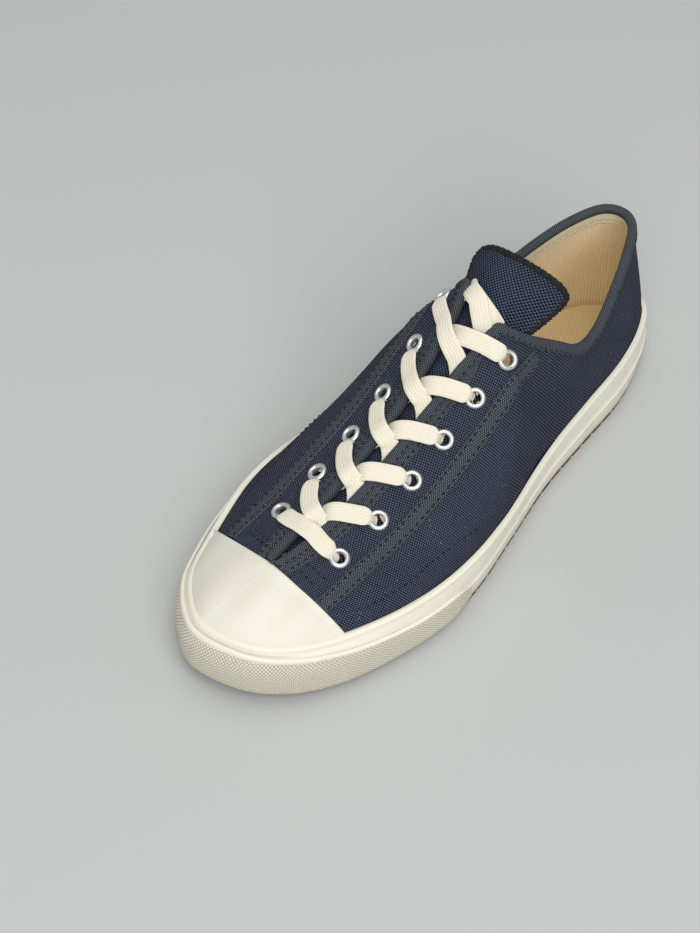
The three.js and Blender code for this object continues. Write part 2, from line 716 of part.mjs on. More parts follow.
function upper() {
  const sheet = (away) =>
    LOOP.map(({ side, round }) => UPPER_ROWS.map((up) => offSkin(side, round, up, away)));
  let canvas = shell(sheet(0), sheet(-UPPER_WALL), true);
  for (const place of [...laceEyelets[LATERAL], ...laceEyelets[MEDIAL], ...vents]) {
    canvas = drill(canvas, place, EYELET_BARREL_RADIUS + GAP);
  }
  return canvas;
}

// The tape folded over the top line and the edges of the throat.
function binding() {
  const outer = [];
  const inner = [];
  for (const { side, round } of LOOP) {
    const capped = capEdge(side, round);
    const down = upToEdge(side, round, BINDING_WIDTH);
    const low = round > 0.6 ? Math.min(Math.max(down, capped + CAP_CLEAR), 0.985) : down;
    const inside = upToEdge(side, round, BINDING_INSIDE);
    const edge = skin(side, round, 1);
    const over = edge.clone().sub(skin(side, round, 0.98)).normalize();
    const normal = skinNormal(side, round, 1);
    const rim = (away, above) => edge.clone().addScaledVector(normal, away).addScaledVector(over, above);
    const near = SEATING;
    const far = SEATING + BINDING;
    outer.push([
      offSkin(side, round, low, far),
      rim(far, 0),
      rim(-UPPER_WALL / 2, far),
      rim(-UPPER_WALL - far, 0),
      offSkin(side, round, inside, -UPPER_WALL - far),
    ]);
    inner.push([
      offSkin(side, round, low, near),
      rim(near, 0.1),
      rim(-UPPER_WALL / 2, near),
      rim(-UPPER_WALL - near, 0.1),
      offSkin(side, round, inside, -UPPER_WALL - near),
    ]);
  }
  return shell(outer, inner, true);
}

// How far round a seam tape runs before its lower edge meets the toe cap.
function tapeEnd(side, upAt) {
  let [low, high] = [0.7, TAPE_PATH.at(-1).round];
  for (let i = 0; i < 20; i += 1) {
    const round = (low + high) / 2;
    const lowest = upAt(round) - (TAPE_CLEAR * TAPE_WIDTH) / skin(side, round, 1).distanceTo(skin(side, round, 0));
    if (capEdge(side, round) < lowest) low = round;
    else high = round;
  }
  return low;
}

// A tape sewn over the seam on one side, from the collar to the toe cap.
function seamTape(side) {
  const upAt = curve(TAPE_PATH, "round", "up");
  const first = TAPE_PATH[0].round;
  const last = tapeEnd(side, upAt);
  const columns = LOOP.filter((place) => place.side === LATERAL).map(({ round }) => round);
  const rounds = [first, ...columns.filter((round) => round > first + 0.01 && round < last - 0.01), last];
  const sheet = (away) =>
    rounds.map((round) => {
      const up = upAt(round);
      const here = skin(side, round, up);
      const steepness = here.distanceTo(skin(side, round, up + 0.01)) / 0.01;
      const nearby = skin(side, round + 0.01, upAt(round + 0.01));
      const level = here.distanceTo(skin(side, round + 0.01, up));
      const slant = nearby.distanceTo(here) / level; // wider where the tape runs uphill
      return [-0.5, 0, 0.5].map((share) =>
        offSkin(side, round, up + (share * TAPE_WIDTH * slant) / steepness, away),
      );
    });
  return shell(sheet(SEATING + TAPE), sheet(SEATING));
}

function backstay() {
  const low = upToHeight(LATERAL, 0, foxingAt.top(0) + 0.8);
  const high = upToEdge(LATERAL, 0, BINDING_WIDTH + 0.6);
  const total = outline[LATERAL][SIDE_STEPS].length;
  const half = BACKSTAY_WIDTH / 2 / total;
  const steps = 5;
  const sheet = (away) =>
    Array.from({ length: steps + 1 }, (_, i) =>
      [-1, 0, 1].map((share) => {
        const side = share < 0 ? MEDIAL : LATERAL;
        return offSkin(side, Math.abs(share) * half, lerp(low, high, i / steps), away);
      }),
    );
  return shell(sheet(SEATING + TAPE), sheet(SEATING));
}

// A point over the throat or beside it. aside is sideways from its middle, and out is above
// the upper's outer surface, or above the arch from one edge of the throat to the other.
function overThroat(round, aside, out) {
  const side = aside < 0 ? MEDIAL : LATERAL;
  const beside = Math.abs(aside) - throatHalf(round);
  if (beside > 0) {
    const up = upToEdge(side, round, beside);
    return { point: offSkin(side, round, up, out), facing: skinNormal(side, round, up) };
  }
  const half = throatHalf(round);
  const edges = [MEDIAL, LATERAL].map((edge) => offSkin(edge, round, 1, out));
  const normals = [MEDIAL, LATERAL].map((edge) => skinNormal(edge, round, 1));
  const share = (aside / half + 1) / 2;
  const middle = normals[0].clone().add(normals[1]).normalize();
  const steepness = Math.tan(middle.angleTo(normals[1]));
  const arch = (steepness / 2) * (half - (aside * aside) / half);
  return {
    point: edges[0].lerp(edges[1], share).addScaledVector(middle, arch),
    facing: normals[0].lerp(normals[1], share).normalize(),
  };
}

function throatHalf(round) {
  return topEdge(LATERAL, round).distanceTo(topEdge(MEDIAL, round)) / 2;
}

// The tongue's free end: beyond is along it from the top of the throat.
const TONGUE_DEPTH = UPPER_WALL + BINDING + 5 * GAP; // its outer face under the upper's
const freeEnd = (() => {
  const root = overThroat(THROAT_TOP, 0, -TONGUE_DEPTH).point;
  const before = overThroat(THROAT_TOP + 0.03, 0, -TONGUE_DEPTH).point;
  const forward = root.clone().sub(before).setX(0).normalize();
  const upward = new THREE.Vector3(0, -forward.z, forward.y);
  const half = throatHalf(THROAT_TOP);
  const [inner, outer] = [-half, half].map((aside) => overThroat(THROAT_TOP, aside, -TONGUE_DEPTH).point);
  const drop = root.clone().sub(inner.clone().add(outer).multiplyScalar(0.5)).dot(upward);
  const tilt = inner.sub(outer).dot(upward) / (2 * half);
  return { root, forward, upward, arch: drop / (half * half), tilt };
})();

function onFreeEnd(beyond, aside, out) {
  const { root, forward, upward, arch, tilt } = freeEnd;
  const lift = curve(TONGUE_END, "beyond", "lift")(beyond);
  const along = clamp(beyond / TONGUE_END.at(-1).beyond, 0, 1);
  const flatter = lerp(arch, TONGUE_END_ARCH, along);
  const lean = lerp(tilt, TONGUE_END_TILT, along);
  const facing = upward.clone().add(new THREE.Vector3(2 * flatter * aside + lean, 0, 0)).normalize();
  return root
    .clone()
    .add(new THREE.Vector3(aside, 0, 0))
    .addScaledVector(forward, beyond)
    .addScaledVector(upward, lift - flatter * aside * aside - lean * aside)
    .addScaledVector(facing, out);
}

// The free end's border on the lateral side, moved inwards.
function border(inset) {
  return TONGUE_END.map(({ beyond, half }, i) => {
    const before = TONGUE_END[Math.max(i - 1, 0)];
    const after = TONGUE_END[Math.min(i + 1, TONGUE_END.length - 1)];
    const run = new THREE.Vector2(after.beyond - before.beyond, after.half - before.half).normalize();
    return { beyond: beyond + run.y * inset, half: half - run.x * inset };
  });
}

function tongue() {
  const shares = [-1, -0.67, -0.33, 0, 0.33, 0.67, 1];
  const under = LOOP.filter(({ side, round }) => side === MEDIAL && round >= THROAT_TOP && round <= TONGUE_ROOT);
  const sheet = (out) => [
    ...under.map(({ round }) => {
      const reach = Math.min(TONGUE_UNDER, TONGUE_WIDENING * (round - THROAT_TOP) + TONGUE_UNDER_TOP);
      const half = throatHalf(round) + reach;
      return shares.map((share) => overThroat(round, share * half, out - TONGUE_DEPTH).point);
    }),
    ...border(TONGUE_EDGE + GAP).slice(0, -1).map(({ beyond, half }) =>
      shares.map((share) => onFreeEnd(beyond, share * half, out)),
    ),
  ];
  return shell(sheet(0), sheet(-TONGUE_WALL));
}

// The overlocked border round the tongue's free end.
function tongueEdging() {
  const inner = border(TONGUE_EDGE).slice(1);
  const outer = border(0).slice(1);
  const around = (row, side) => ({ ...row, half: side * row.half });
  const path = (rows) => [
    ...rows.map((row) => around(row, LATERAL)),
    ...rows.slice(0, -1).reverse().map((row) => around(row, MEDIAL)),
  ];
  const sheet = (out) =>
    path(inner).map((near, i) => {
      const far = path(outer)[i];
      return [near, far].map(({ beyond, half }) => onFreeEnd(beyond, half, out));
    });
  const proud = (TONGUE_EDGE_WALL - TONGUE_WALL) / 2;
  return shell(sheet(proud), sheet(-TONGUE_WALL - proud));
}

// A flat lace through stops, each a point and the direction that its flat side faces.
function ribbon(stops) {
  const line = new THREE.CatmullRomCurve3(stops.map(({ point }) => point), false, "centripetal");
  const steps = stops.length - 1;
  const sheet = (away) =>
    Array.from({ length: steps + 1 }, (_, i) => {
      const along = line.getTangent(i / steps);
      const across = along.clone().cross(stops[i].facing).normalize();
      const out = across.clone().cross(along).normalize();
      return [-LACE_WIDTH / 2, LACE_WIDTH / 2].map((aside) =>
        stops[i].point.clone().addScaledVector(across, aside).addScaledVector(out, away),
      );
    });
  return shell(sheet(LACE / 2), sheet(-LACE / 2));
}

const LACE_OVER = EYELET_SEATING + EYELET_FLANGE + LACE_PROUD + LACE / 2; // its middle above the upper

// A strap of lace out of the throat on one side and over the other edge to an eyelet.
function strap(side, from, eyelet) {
  const start = side * Math.max(throatHalf(throatRound(from)) - LACE_CLEAR, 1);
  const goal = alongOf(eyelet);
  const end = -side * (throatHalf(throatRound(goal)) + EYELET_INSET);
  const edge = -side * throatHalf(throatRound((from + goal) / 2));
  const rise = (edge - start) / (end - start);
  return ribbon(
    [...STOPS_INSIDE.map((stop) => stop * rise), ...STOPS_OUTSIDE.map((stop) => lerp(rise, 1, stop))].map((share) =>
      overThroat(
        throatRound(lerp(from, goal, share) - LACE_SAG * 4 * share * (1 - share)),
        lerp(start, end, share),
        lerp(LACE_UNDER, LACE_OVER, smoothstep(share, -0.2 * rise, 0.7 * rise)),
      ),
    ),
  );
}

// A strap that comes out of the throat on one side and goes back in on the other.
function hiddenStrap(side, from, to, lift) {
  const [start, end] = [from, to].map((along) => throatHalf(throatRound(along)) - LACE_CLEAR);
  return ribbon(
    STOPS_INSIDE.map((share) =>
      overThroat(
        throatRound(lerp(from, to, share)),
        lerp(side * start, -side * end, share),
        LACE_UNDER - TOP_CROSSING.deeper + lift * Math.sin(Math.PI * share),
      ),
    ),
  );
}

const alongOf = (eyelet) => EYELET_START + eyelet * EYELET_PITCH;

function laceBar() {
  const half = throatHalf(throatRound(alongOf(0)));
  const reach = half + EYELET_INSET;
  const asides = [-reach, -0.6 * reach, -half - 1, 0, half + 1, 0.6 * reach, reach];
  return ribbon(
    asides.map((aside) => {
      const along = alongOf(0) - BAR_SAG * (1 - (aside / reach) ** 2);
      return overThroat(throatRound(along), aside, LACE_OVER);
    }),
  );
}

function laceCrossing(below) {
  const over = strap(LATERAL, alongOf(below) + LATERAL_START, below + 1);
  return over.add(strap(MEDIAL, alongOf(below) + MEDIAL_START, below + 1));
}

function topCrossing() {
  const top = alongOf(EYELET_COUNT - 1);
  const [from, to] = [top + TOP_CROSSING.from, top + TOP_CROSSING.to];
  return hiddenStrap(LATERAL, from, to, TOP_CROSSING.over).add(hiddenStrap(MEDIAL, from, to, TOP_CROSSING.under));
}

const materials = {
  canvas: [0x282e42, 0.9, 0],
  tape: [0x323a42, 0.85, 0],
  rubber: [0xe9e5d8, 0.5, 0],
  tread: [0x8a5a38, 0.6, 0],
  lining: [0xc3ae8c, 0.95, 0],
  lace: [0xeae3d2, 0.9, 0],
  metal: [0xd5d8d8, 0.3, 1],
};
const made = Object.fromEntries(
  Object.entries(materials).map(([name, [color, roughness, metalness]]) => [
    name,
    new THREE.MeshStandardMaterial({ color, roughness, metalness }),
  ]),
);

const sneaker = new THREE.Group();

function place(name, solid, material) {
  const geometry = solid.isBufferGeometry ? solid : geometryOf(solid);
  const mesh = new THREE.Mesh(geometry, made[material]);
  mesh.name = name;
  sneaker.add(mesh);
  return mesh;
}

place("outsole", outsole(), "tread");
place("foxing", foxing(), "rubber");
place("toe_bumper", toeBumper(), "rubber");
place("toe_cap", toeCap(), "rubber");
place("upper", upper(), "canvas");
place("collar_binding", binding(), "tape");
place("seam_tape_lateral", seamTape(LATERAL), "tape");
place("seam_tape_medial", seamTape(MEDIAL), "tape");
place("backstay", backstay(), "tape");
place("insole", insole(), "lining");
place("tongue", tongue(), "canvas");
place("tongue_edging", tongueEdging(), "tape");
place("lace_bar", laceBar(), "lace");
for (let i = 0; i < EYELET_COUNT - 1; i += 1) place(`lace_crossing_${i + 1}`, laceCrossing(i), "lace");
place(`lace_crossing_${EYELET_COUNT}`, topCrossing(), "lace");

function placeEyelets(name, places) {
  places.forEach((spot, i) => {
    const mesh = place(`${name}_${i + 1}`, eyeletGeometry(), "metal");
    mesh.position.copy(skin(spot.side, spot.round, spot.up));
    mesh.quaternion.copy(turnedTo(spot));
  });
}

placeEyelets("eyelet_lateral", laceEyelets[LATERAL]);
placeEyelets("eyelet_medial", laceEyelets[MEDIAL]);
placeEyelets("vent", vents);

// The group's box is centred over the origin, with its bottom on the ground.
const box = new THREE.Box3().setFromObject(sneaker);
const middle = box.getCenter(new THREE.Vector3()).setZ(box.min.z);
for (const mesh of sneaker.children) mesh.position.sub(middle);

export default sneaker;
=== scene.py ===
"""Looks for a low canvas sneaker for the left foot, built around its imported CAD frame.

Sizes are millimetres here and metres in Blender. +Z is up, the toe points to -Y, and the
outer (lateral) side of the foot is at +X. The upper's surface is worked out as in the CAD:
a place on it has a side, a share of the way round the foot from heel to toe, and a share of
the way up the wall.
"""

import math

import bpy
import numpy as np
from mathutils import Matrix, Vector


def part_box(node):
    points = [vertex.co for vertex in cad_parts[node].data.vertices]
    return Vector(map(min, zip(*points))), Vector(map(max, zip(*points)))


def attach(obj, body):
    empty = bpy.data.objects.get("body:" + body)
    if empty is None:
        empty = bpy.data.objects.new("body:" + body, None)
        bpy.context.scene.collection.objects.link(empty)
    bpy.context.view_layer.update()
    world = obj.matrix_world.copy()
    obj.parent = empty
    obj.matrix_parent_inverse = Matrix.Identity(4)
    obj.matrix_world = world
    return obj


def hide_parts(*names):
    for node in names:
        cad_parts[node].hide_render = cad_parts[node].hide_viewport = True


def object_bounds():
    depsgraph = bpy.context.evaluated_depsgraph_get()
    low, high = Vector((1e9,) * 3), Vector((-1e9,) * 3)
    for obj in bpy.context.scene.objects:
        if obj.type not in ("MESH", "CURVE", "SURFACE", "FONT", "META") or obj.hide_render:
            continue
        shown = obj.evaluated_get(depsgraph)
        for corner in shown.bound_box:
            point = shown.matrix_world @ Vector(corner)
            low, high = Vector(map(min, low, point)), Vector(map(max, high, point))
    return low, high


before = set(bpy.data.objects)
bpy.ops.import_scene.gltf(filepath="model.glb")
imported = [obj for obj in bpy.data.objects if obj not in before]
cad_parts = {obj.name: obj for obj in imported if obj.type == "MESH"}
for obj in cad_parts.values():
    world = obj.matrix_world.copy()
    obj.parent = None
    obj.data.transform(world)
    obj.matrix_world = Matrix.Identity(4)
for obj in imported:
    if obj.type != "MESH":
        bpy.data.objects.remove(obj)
cad_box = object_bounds()

MM = 0.001

# Overall sizes. They are the CAD's, apart from the tongue's hidden edges and its free end,
# the width and run of the lace, and the eyelets' flange, which follow the photo more closely.
LENGTH = 293.5
BALL_WIDTH = 110
INSTEP_HEIGHT = 102
HEEL_HEIGHT = 85
PLATFORM = 12
TREAD_LAYER = 3
TOE_SPRING = 8
SPRING_START = 0.7
FOXING = 2.8
FOXING_LIFT = 0.4
HEEL_BULGE = 0.6
BEAD_OUT = 0.9
BUMPER = 2.2
BUMPER_START = 0.575
BUMPER_FADE = 0.06
UPPER_WALL = 1.9
TOE_CAP = 1.3
TOE_CAP_EDGE = 0.853
TOE_CAP_BOW = 6
TOE_CAP_BOW_MEDIAL = 16
BINDING = 0.8
BINDING_WIDTH = 4.6
BINDING_INSIDE = 2
TAPE_WIDTH = 7.5
BACKSTAY_WIDTH = 15
INSOLE = 4.5
TONGUE_WALL = 2
TONGUE_UNDER = 24
TONGUE_UNDER_TOP = 15
TONGUE_WIDENING = 350
TONGUE_EDGE = 3.4
EYELET_COUNT = 6
EYELET_START = 27
EYELET_PITCH = 22.8
EYELET_INSET = 15
EYELET_RADIUS = 4.7
BORE_RADIUS = 2.5
BARREL_RADIUS = 2.9
EYELET_FLANGE = 1.1
EYELET_SEATING = 0.25
VENT_PLACES = [0.34, 0.44]
VENT_ABOVE_FOXING = 9
LACE_WIDTH = 8.4
LACE = 1.3
LACE_PROUD = 0.8
LACE_TIP_WIDTH = 4.6
LACE_TIP_DEPTH = -2.8
LATERAL_START = 1
MEDIAL_START = 4.8
LACE_SAG = 4
UNDER_SAG = 0
BAR_SAG = 5.5
GAP = 0.3
THROAT_TOP = 0.5
TONGUE_ROOT = 0.86
TONGUE_END_ARCH = 0.024
TONGUE_END_TILT = 0.12
TONGUE_END_DRIFT = 4
CORNER_FORWARD = 3
CORNER_DROP = 3.5
CORNER_REACH = 0.065

LATERAL = 1
MEDIAL = -1


def table(columns, *rows):
    return [dict(zip(columns.split(), row)) for row in rows]


# The sole's outline, over the foxing, as shares of the length and of the ball's width
OUTLINE = table(
    "at lateral medial",
    (0.0, 0.0, 0.0),
    (0.018, 0.142, 0.113),
    (0.065, 0.225, 0.213),
    (0.15, 0.291, 0.284),
    (0.26, 0.317, 0.301),
    (0.38, 0.348, 0.323),
    (0.5, 0.413, 0.402),
    (0.61, 0.468, 0.501),
    (0.7, 0.473, 0.531),
    (0.79, 0.425, 0.492),
    (0.87, 0.354, 0.423),
    (0.935, 0.253, 0.34),
    (0.98, 0.115, 0.218),
    (1.0, -0.104, 0.104),
)

# The middle line of the upper's top
BEND = table(
    "at side",
    (0.0, 0.0),
    (0.25, 0.005),
    (0.5, 0.0),
    (0.8, -0.033),
    (1.0, -0.057),
)

# The upper's walls, a row for each place on the way round from the heel (0) to the toe (1)
WALLS = table(
    "round at side height dip rise swell crown",
    (0.0, 0.04, 0.0, 0.833, 80, 0.34, 0.05, 0.34),
    (0.06, 0.057, 0.089, 0.829, 81, 0.34, 0.05, 0.34),
    (0.12, 0.108, 0.159, 0.802, 82, 0.34, 0.045, 0.34),
    (0.19, 0.176, 0.223, 0.738, 84, 0.34, 0.04, 0.34),
    (0.26, 0.238, 0.265, 0.672, 84, 0.34, 0.04, 0.34),
    (0.33, 0.289, 0.277, 0.69, 82, 0.34, 0.05, 0.34),
    (0.39, 0.328, 0.251, 0.776, 75, 0.34, 0.07, 0.34),
    (0.435, 0.365, 0.201, 0.87, 66, 0.35, 0.08, 0.34),
    (0.47, 0.389, 0.147, 0.955, 55, 0.36, 0.09, 0.34),
    (0.5, 0.406, 0.1, 1.0, 44, 0.37, 0.09, 0.35),
    (0.535, 0.457, 0.072, 0.9, 36, 0.38, 0.08, 0.36),
    (0.6, 0.56, 0.053, 0.7, 32, 0.4, 0.07, 0.38),
    (0.66, 0.655, 0.047, 0.56, 27, 0.4, 0.06, 0.4),
    (0.72, 0.733, 0.043, 0.475, 21, 0.4, 0.05, 0.42),
    (0.78, 0.779, 0.034, 0.447, 16, 0.34, 0.03, 0.44),
    (0.84, 0.812, 0.026, 0.436, 14, 0.31, 0.02, 0.45),
    (0.9, 0.836, 0.018, 0.43, 14, 0.31, 0.01, 0.46),
    (0.96, 0.849, 0.009, 0.426, 15, 0.31, 0.01, 0.47),
    (1.0, 0.851, 0.0, 0.424, 16, 0.31, 0.01, 0.48),
)

# Heights of the foxing's upper edge and raised line, and of the bumper's upper edge
FOXING_HEIGHTS = table(
    "round top bead bumper",
    (0.0, 31.5, 17, 20),
    (0.15, 30.5, 15, 20),
    (0.35, 28.6, 13, 20),
    (0.55, 28.2, 12.5, 17),
    (0.72, 26, 13, 18),
    (0.86, 23.9, 14, 19.2),
    (1.0, 23.3, 15, 19.7),
)

# The tongue's free end, beyond the top of the throat
TONGUE_END = table(
    "beyond half lift",
    (4, 22.5, -2.2),
    (8, 22.8, -2.3),
    (12, 23.3, -2.9),
    (16, 23.5, -3.8),
    (20, 22.5, -4.6),
    (23, 18.8, -5.2),
    (24.6, 13, -5.5),
    (25.3, 7, -5.6),
    (25.5, 0, -5.6),
)

# Where the seam tapes run, from just below the binding to under the toe cap
TAPE_PATH = table(
    "round up",
    (0.437, 0.9),
    (0.452, 0.845),
    (0.48, 0.78),
    (0.511, 0.73),
    (0.545, 0.699),
    (0.592, 0.677),
    (0.66, 0.654),
    (0.74, 0.632),
    (0.795, 0.578),
    (0.83, 0.53),
)

# The stitched line low on each side of the vamp
VAMP_SEAM = table(
    "round up",
    (0.574, 0.306),
    (0.636, 0.374),
    (0.688, 0.376),
    (0.734, 0.388),
    (0.757, 0.402),
)

# The short stitched lines between the tapes, beside the toe cap
CAP_SEAMS = table(
    "side round up next_round next_up last_round last_up",
    (LATERAL, 0.861, 0.905, 0.838, 0.825, 0.814, 0.69),
    (LATERAL, 0.839, 0.93, 0.812, 0.83, 0.789, 0.685),
    (MEDIAL, 0.885, 0.945, 0.848, 0.835, 0.816, 0.68),
    (MEDIAL, 0.856, 0.93, 0.83, 0.83, 0.806, 0.7),
)

# Soft troughs and ridges in the canvas: length, width and depth in millimetres, and the
# angle of the trough's run to the sole's, in degrees. A negative depth is a ridge.
CREASES = table(
    "side round up length width depth angle",
    (LATERAL, 0.66, 0.3, 22, 7, 0.7, 62),
    (LATERAL, 0.7, 0.42, 18, 6, -0.5, 66),
    (LATERAL, 0.585, 0.45, 26, 10, 0.6, 40),
    (LATERAL, 0.42, 0.45, 30, 14, 0.9, 75),
    (LATERAL, 0.25, 0.62, 30, 13, 0.8, 20),
    (LATERAL, 0.11, 0.5, 16, 20, 0.6, 80),
    (MEDIAL, 0.68, 0.34, 20, 7, 0.7, 60),
    (MEDIAL, 0.62, 0.5, 20, 8, -0.5, 52),
    (MEDIAL, 0.47, 0.42, 34, 13, 1.0, 70),
    (MEDIAL, 0.3, 0.55, 34, 14, 0.9, 15),
    (MEDIAL, 0.13, 0.5, 16, 20, 0.6, 85),
)


# The upper's surface


def curve(rows, key, name):
    """A smooth curve through a table's rows, with each slope averaged from its neighbours'."""
    x = np.array([row[key] for row in rows], float)
    y = np.array([row[name] for row in rows], float)
    slopes = np.diff(y) / np.diff(x)
    before, after = np.diff(x)[:-1], np.diff(x)[1:]
    inner = (slopes[:-1] * after + slopes[1:] * before) / (before + after)
    tangents = np.concatenate([slopes[:1], inner, slopes[-1:]])

    def at(t):
        t = np.asarray(t, float)
        i = np.clip(np.searchsorted(x, t) - 1, 0, len(x) - 2)
        width = x[i + 1] - x[i]
        u = (t - x[i]) / width
        s = 1 - u
        bend = tangents[i] * s * s * u - tangents[i + 1] * u * u * s
        return y[i] * s * s * (1 + 2 * u) + y[i + 1] * u * u * (3 - 2 * u) + width * bend

    return at


def both_sides(rows, odd=()):
    """The rows with those of the other side carried on past each end."""

    def other(row, end):
        mirrored = dict(row, round=2 * end - row["round"])
        mirrored.update({name: -row[name] for name in odd})
        return mirrored

    past_heel = [other(row, 0) for row in (rows[2], rows[1])]
    past_toe = [other(row, 1) for row in (rows[-2], rows[-3])]
    return past_heel + rows + past_toe


def columns_of(rows, names):
    return {name: curve(rows, "round", name) for name in names.split()}


wall_at = columns_of(both_sides(WALLS, ["side"]), "at side height dip rise swell crown")
foxing_at = columns_of(both_sides(FOXING_HEIGHTS), "top bead bumper")
bend_at = curve(BEND, "at", "side")

HEEL = LENGTH / 2 - BEAD_OUT - HEEL_BULGE
RUN = HEEL + LENGTH / 2 - BUMPER


def lengthwise(at):
    return HEEL - at * RUN


def catmull_rom(points, count, closed=False):
    """Points along a centripetal curve through the given ones, count for each span."""
    points = np.asarray(points, float)
    if closed:
        held = np.concatenate([points[-1:], points, points[:2]])
    else:
        held = np.concatenate([[2 * points[0] - points[1]], points, [2 * points[-1] - points[-2]]])
    made = []
    for p0, p1, p2, p3 in zip(held, held[1:], held[2:], held[3:]):
        d0, d1, d2 = (max(np.linalg.norm(b - a), 1e-9) ** 0.5 for a, b in ((p0, p1), (p1, p2), (p2, p3)))
        start = ((p1 - p0) / d0 - (p2 - p0) / (d0 + d1) + (p2 - p1) / d1) * d1
        end = ((p2 - p1) / d1 - (p3 - p1) / (d1 + d2) + (p3 - p2) / d2) * d1
        for w in np.arange(count) / count:
            cubic = (2 * p1 - 2 * p2 + start + end) * w**3
            made.append(p1 + start * w + (-3 * p1 + 3 * p2 - 2 * start - end) * w * w + cubic)
    return np.array(made if closed else made + [points[-1]])


def outline_sides():
    """The outline's points from heel to toe on each side, with the way along to each."""
    ring = [(row["lateral"], row["at"]) for row in OUTLINE]
    ring += [(-row["medial"], row["at"]) for row in OUTLINE[-2:0:-1]]
    spans = 24
    line = catmull_rom([(side * BALL_WIDTH, lengthwise(at)) for side, at in ring], spans, closed=True)
    toe = (len(OUTLINE) - 1) * spans
    sides = {LATERAL: line[: toe + 1], MEDIAL: np.concatenate([line[:1], line[:toe - 1:-1]])}
    return {
        side: (points, np.concatenate([[0], np.cumsum(np.hypot(*np.diff(points, axis=0).T))]))
        for side, points in sides.items()
    }


outline = outline_sides()
outline_xs = np.concatenate([points[:, 0] for points, _ in outline.values()])
HEEL_AXIS = -(outline_xs.min() + outline_xs.max()) / 2


def arrays(*values):
    return np.broadcast_arrays(*[np.asarray(value, float) for value in values])


def unit(vectors):
    return vectors / np.maximum(np.linalg.norm(vectors, axis=-1, keepdims=True), 1e-12)


def smoothstep(x, low, high):
    t = np.clip((np.asarray(x, float) - low) / (high - low), 0, 1)
    return t * t * (3 - 2 * t)


def on_loop(side, around):
    """A place past the heel or toe, given on the other side."""
    side, around = arrays(side, around)
    past = (around < 0) | (around > 1)
    folded = np.where(around > 1, 2 - around, around)
    return np.where(past, -side, side), np.where(around < 0, -around, folded)


def outline_point(side, around):
    side, around = on_loop(side, around)
    point = np.zeros(around.shape + (3,))
    for one, (line, along) in outline.items():
        here = side == one
        for axis in (0, 1):
            point[here, axis] = np.interp(around[here] * along[-1], along, line[:, axis])
    point[..., 0] += HEEL_AXIS
    return point


def outward(side, around):
    step = 0.012
    side, around = arrays(side, around)
    run = outline_point(side, around + step) - outline_point(side, around - step)
    return unit(np.stack([-run[..., 1] * side, run[..., 0] * side, 0 * side], -1))


def spring(y):
    past = np.maximum(0, ((HEEL - y) / RUN - SPRING_START) / (1 - SPRING_START))
    return TOE_SPRING * past * past


def foot_of(side, around, inset=FOXING + GAP):
    foot = outline_point(side, around) - inset * outward(side, around)
    foot[..., 2] = PLATFORM + GAP + spring(foot[..., 1])
    return foot


def top_edge(side, around):
    at = wall_at["at"](around)
    heel = 1 - smoothstep(np.abs(around), 0, 0.3)
    lift = 1 + (HEEL_HEIGHT / (INSTEP_HEIGHT * WALLS[0]["height"]) - 1) * heel
    corner = side * np.exp(-(((around - THROAT_TOP) / CORNER_REACH) ** 2))
    across = HEEL_AXIS + (bend_at(at) + side * wall_at["side"](around)) * BALL_WIDTH
    height = wall_at["height"](around) * INSTEP_HEIGHT * lift - corner * CORNER_DROP
    return np.stack([across, lengthwise(at) - corner * CORNER_FORWARD, height], -1)


def skin(side, around, up):
    """The upper's outer surface: up goes from the sole (0) to the top edge (1)."""
    side, around, up = arrays(side, around, up)
    side, around = on_loop(side, around)
    foot, top = foot_of(side, around), top_edge(side, around)
    way = np.linalg.norm(foot - top, axis=-1, keepdims=True)
    out = outward(side, around)
    away = unit(unit((foot - top) * [1, 1, 0]) + out)
    dip = np.radians(wall_at["dip"](around))[..., None]
    rise, swell, crown = (wall_at[name](around)[..., None] for name in ("rise", "swell", "crown"))
    upwards = np.array([0.0, 0.0, 1.0])
    low = foot + upwards * rise * way + out * swell * way
    high = top + away * np.cos(dip) * crown * way - upwards * np.sin(dip) * crown * way
    u = up[..., None]
    d = 1 - u
    return foot * d**3 + 3 * low * d * d * u + 3 * high * d * u * u + top * u**3


def skin_normal(side, around, up):
    step = 0.01
    side, around, up = arrays(side, around, up)
    run = skin(side, around + step, up) - skin(side, around - step, up)
    lift = np.minimum(up, 1 - step)
    climb = skin(side, around, lift + step) - skin(side, around, lift)
    return unit(np.cross(run, climb) * -side[..., None])


def softness(side, around, up):
    """How far the cloth stands off the smooth surface at its creases."""
    side, around, up = arrays(side, around, up)
    total = np.zeros(side.shape)
    round_length, wall_height = 340.0, 75.0
    for crease in CREASES:
        run = (around - crease["round"]) * round_length
        climb = (up - crease["up"]) * wall_height
        angle = math.radians(crease["angle"])
        along = run * math.cos(angle) + climb * math.sin(angle)
        across = climb * math.cos(angle) - run * math.sin(angle)
        shape = np.exp(-((along / crease["length"]) ** 2) - (across / crease["width"]) ** 2)
        total -= np.where(side == crease["side"], crease["depth"] * shape, 0)
    wave = np.sin(around * 41 + side) * np.sin(up * 9 + around * 13 + 2 * side)
    return total + 0.22 * wave * np.sin(np.pi * np.clip(up, 0, 1)) * smoothstep(around, 0.02, 0.1)


def off_skin(side, around, up, away):
    """A point off the cloth: away is how far outside it, negative inside."""
    away = np.asarray(away, float) + softness(side, around, up)
    return skin(side, around, up) + skin_normal(side, around, up) * away[..., None]


def up_to_height(side, around, height):
    low, high = np.zeros(np.shape(around)), np.ones(np.shape(around))
    for _ in range(22):
        middle = (low + high) / 2
        below = skin(side, around, middle)[..., 2] < height
        low, high = np.where(below, middle, low), np.where(below, high, middle)
    return low


